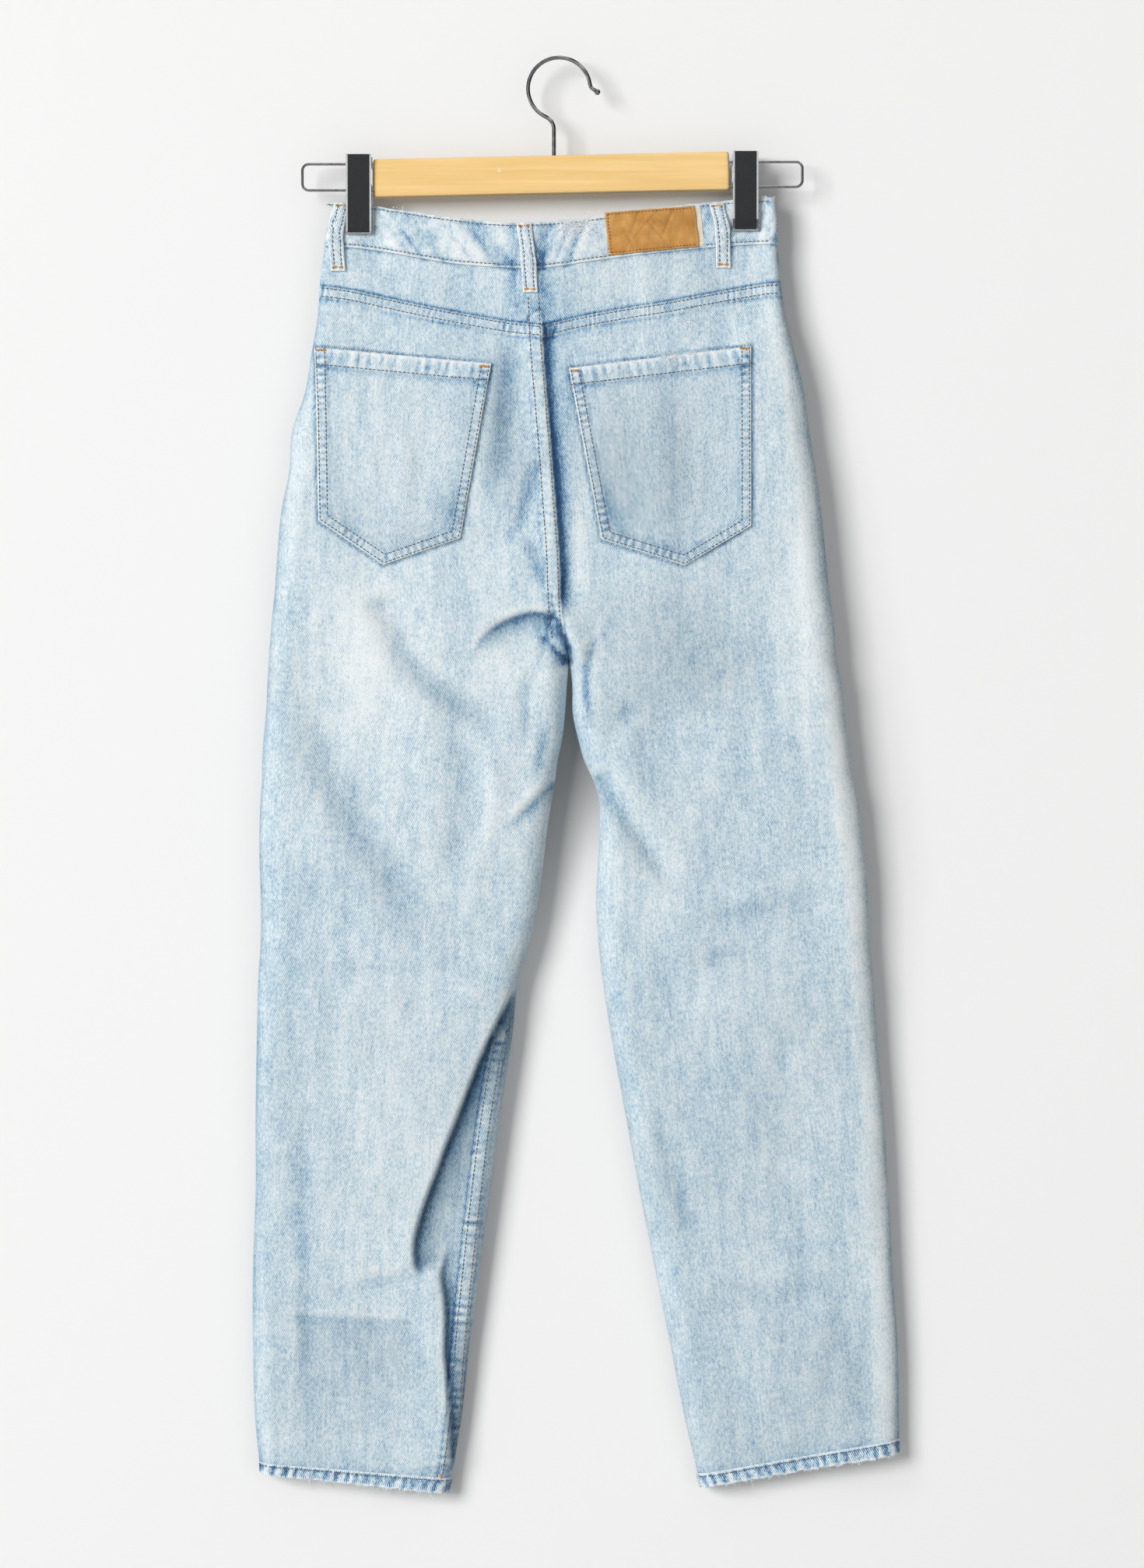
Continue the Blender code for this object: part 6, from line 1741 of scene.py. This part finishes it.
def frayHems():
    # short ends that point down all along the hems' lower edges, and a few long ones
    count = hemFray["count"]
    for leg in ("left", "right"):
        line = hemLine[leg]
        for face in ("back", "front"):
            side, inner = float(sideX(leg, line["sideLow"])), float(innerX(leg, face, line["innerLow"]))
            t = rng.uniform(0.02, 0.98, count)
            x = side + (inner - side) * t
            drop = line["sideLow"] + (line["innerLow"] - line["sideLow"]) * t - rng.uniform(0.2, 1.2, count)
            starts = place(leg, face, x, drop, -0.5, True)
            isLong = rng.uniform(0, 1, count) < hemFray["longShare"]
            length = np.where(isLong, rng.uniform(*hemFray["long"], count), rng.uniform(*hemFray["short"], count))
            heading = np.stack([
                rng.normal(0, 0.5, count), rng.normal(0, 0.12, count), -rng.uniform(0.3, 1.0, count)], 1)
            bend = np.stack([rng.normal(0, 0.5, count), rng.normal(0, 0.08, count), rng.normal(0, 0.4, count)], 1)
            strandMesh("frayHem_" + leg + face.title(), starts, heading, length, bend)


for name, spec in frays.items():
    frayAt(name, spec)
frayHems()
print("frayed ends drawn")


hanger = {
    "hook": {"radius": 24.0, "wire": 1.5, "from": 8.0, "to": 244.6, "tipRadius": 5.0, "tipTurn": 48.0,
             "tipLength": 6.6, "neck": 11.0, "ball": 2.3},
    "bar": {"size": (274.2, 12.0, 29.7), "centre": (-6.0, 89.1), "tilt": 1.25, "corner": 2.5},
    "loops": {
        "left": {"barEnd": -143.1, "far": -198.0, "upper": 80.7, "lower": 100.8},
        "right": {"barEnd": 131.1, "far": 187.5, "upper": 78.9, "lower": 98.1},
    },
    "loopWire": 1.0,
    "loopCorner": 5.0,
    "clips": {"left": {"x": -154.2, "top": 74.1}, "right": {"x": 143.4, "top": 71.7}},
    "clipHeight": 61.2,
    "plateWidth": 16.8,
    "plateThick": 0.7,
}


def arc(centre, radius, start, end, count):
    # points of an arc round a centre, its angles in degrees, drop downwards
    turn = np.radians(np.linspace(start, end, count))
    return np.stack([centre[0] + radius * np.cos(turn), centre[1] - radius * np.sin(turn)], axis=1)


def wire(name, path, radius, material, node, ball=0.0, sides=16):
    # round wire along a path in the flat middle; a ball swells its first end
    path = np.array(path)
    far = lengthAlong(path)
    head = np.linspace(0, 2 * ball, 16)[:-1] if ball else np.zeros(0)
    at = np.concatenate([head, np.linspace(2 * ball, far[-1], max(12, int(far[-1] / 0.9)))])
    line = pointsAt(at, far, path)
    size = np.full(len(at), radius)
    if ball:
        size = np.where(at < ball, 0.02, radius)
        size = np.maximum(size, np.sqrt(np.maximum(ball ** 2 - (at - ball) ** 2, 0.0)))
    along = np.gradient(line, axis=0)
    along /= np.linalg.norm(along, axis=1, keepdims=True)
    turn = np.arange(sides) * 2 * math.pi / sides
    across = np.stack([-along[:, 1], along[:, 0]], axis=1)
    flat = line[:, None, :] + across[:, None, :] * np.cos(turn)[None, :, None] * size[:, None, None]
    points = np.stack([flat[..., 0], np.sin(turn)[None, :] * size[:, None], -flat[..., 1]], axis=-1) * mm
    putMesh(name, points, tubeQuads(len(at), sides), material, sharp=60.0, node=node)


def hangerHook():
    # a small loop at the wire's end, the round bend, and the neck that enters the bar
    spec = hanger["hook"]
    out = lambda degrees: np.array([math.cos(math.radians(degrees)), -math.sin(math.radians(degrees))])
    bend = arc((0.0, spec["radius"] - spec["wire"]), spec["radius"], spec["from"], spec["to"], 160)
    pivot = bend[0] + out(spec["from"]) * spec["tipRadius"]
    tip = arc(pivot, spec["tipRadius"], spec["from"] + 180, spec["from"] + 180 + spec["tipTurn"], 24)[1:]
    end = tip[-1] + out(spec["from"] - 90 + spec["tipTurn"]) * spec["tipLength"]
    neckCentre = bend[-1] + out(spec["to"]) * spec["neck"]
    neck = arc(neckCentre, spec["neck"], spec["to"] - 180, 0, 40)[1:]
    foot = (neck[-1][0], hanger["bar"]["centre"][1] - hanger["bar"]["size"][2] / 2 + 0.4)
    path = np.concatenate([[end], tip[::-1], bend, neck, [foot]])
    wire("hookWire", path, spec["wire"], shadedChrome, "hanger_hook", spec["ball"], 20)


def hangerLoop(side):
    # wire from the bar's upper part round the clip's place and back to its lower part
    spec, corner = hanger["loops"][side], hanger["loopCorner"]
    sign = math.copysign(1.0, spec["far"] - spec["barEnd"])
    turnX = spec["far"] - sign * corner
    upperTurn, lowerTurn = ((90, 0), (0, -90)) if sign > 0 else ((90, 180), (180, 270))
    path = np.concatenate([
        [(spec["barEnd"] - sign * 0.3, spec["upper"])],
        arc((turnX, spec["upper"] + corner), corner, *upperTurn, 24),
        arc((turnX, spec["lower"] - corner), corner, *lowerTurn, 24),
        [(spec["barEnd"] - sign * 0.3, spec["lower"])],
    ])
    wire("loopWire_" + side, path, hanger["loopWire"], shadedChrome, "wire_loop_" + side)


def hangerBar():
    # rounded oblong section swept along the bar, drawn in at its two ends
    spec = hanger["bar"]
    long, deep, tall = spec["size"]
    at = edgeSpread(long, 2.0, 90) * long
    inset = rolled(np.minimum(at, long - at), 2.0)
    turn = np.linspace(0, 2 * math.pi, 56, endpoint=False)
    corner = spec["corner"]
    sideY, sideZ = np.clip(1.6 * np.cos(turn), -1, 1), np.clip(1.6 * np.sin(turn), -1, 1)
    y = (deep / 2 - corner - inset[:, None]) * sideY + corner * np.cos(turn)
    z = (tall / 2 - corner - inset[:, None]) * sideZ + corner * np.sin(turn)
    x = (at - long / 2)[:, None] + 0.0 * y
    tilt = math.radians(spec["tilt"])
    points = np.stack([
        spec["centre"][0] + x * math.cos(tilt) - z * math.sin(tilt), y,
        -spec["centre"][1] + x * math.sin(tilt) + z * math.cos(tilt),
    ], axis=-1) * mm
    putMesh("woodenBar", points, tubeQuads(len(at), 56), wood, sharp=40.0, node="hanger_bar")


def clipPlate(side, face):
    # black cover on the chrome clip, narrower than it, so that a bright rim shows
    spec = hanger["clips"][side]
    wide, tall, thick = hanger["plateWidth"], hanger["clipHeight"] - 1.4, hanger["plateThick"]
    across = (edgeSpread(wide, 0.6, 14) - 0.5)[None, :] * wide
    down = edgeSpread(tall, 0.6, 40)[:, None] * tall
    rim = np.minimum(wide / 2 - np.abs(across), np.minimum(down, tall - down))
    drop = spec["top"] + 0.4 + down + 0.0 * across
    low = spec["top"] + hanger["clipHeight"]
    plane = np.interp(drop, (spec["top"], low - 9.0, low - 2.0, low), (10.0, 8.8, 8.2, 6.95))
    skins = []
    for out in (plane + thick - rolled(rim, 0.5), plane + 0.03):
        skins.append(np.stack([spec["x"] + across + 0.0 * down, faceSign[face] * out, -drop], axis=-1) * mm)
    quads = wallQuads(*skins[0].shape[:2])
    putMesh("clipPlate_" + side + face.title(), skins, quads, blackPlate, sharp=60.0)


hangerHook()
hangerBar()
for side in ("left", "right"):
    hangerLoop(side)
    for face in ("back", "front"):
        clipPlate(side, face)
    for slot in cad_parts["clip_" + side].material_slots:
        slot.material = chrome
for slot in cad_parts["button"].material_slots:
    slot.material = brass
print("hanger made")

bpy.context.view_layer.update()
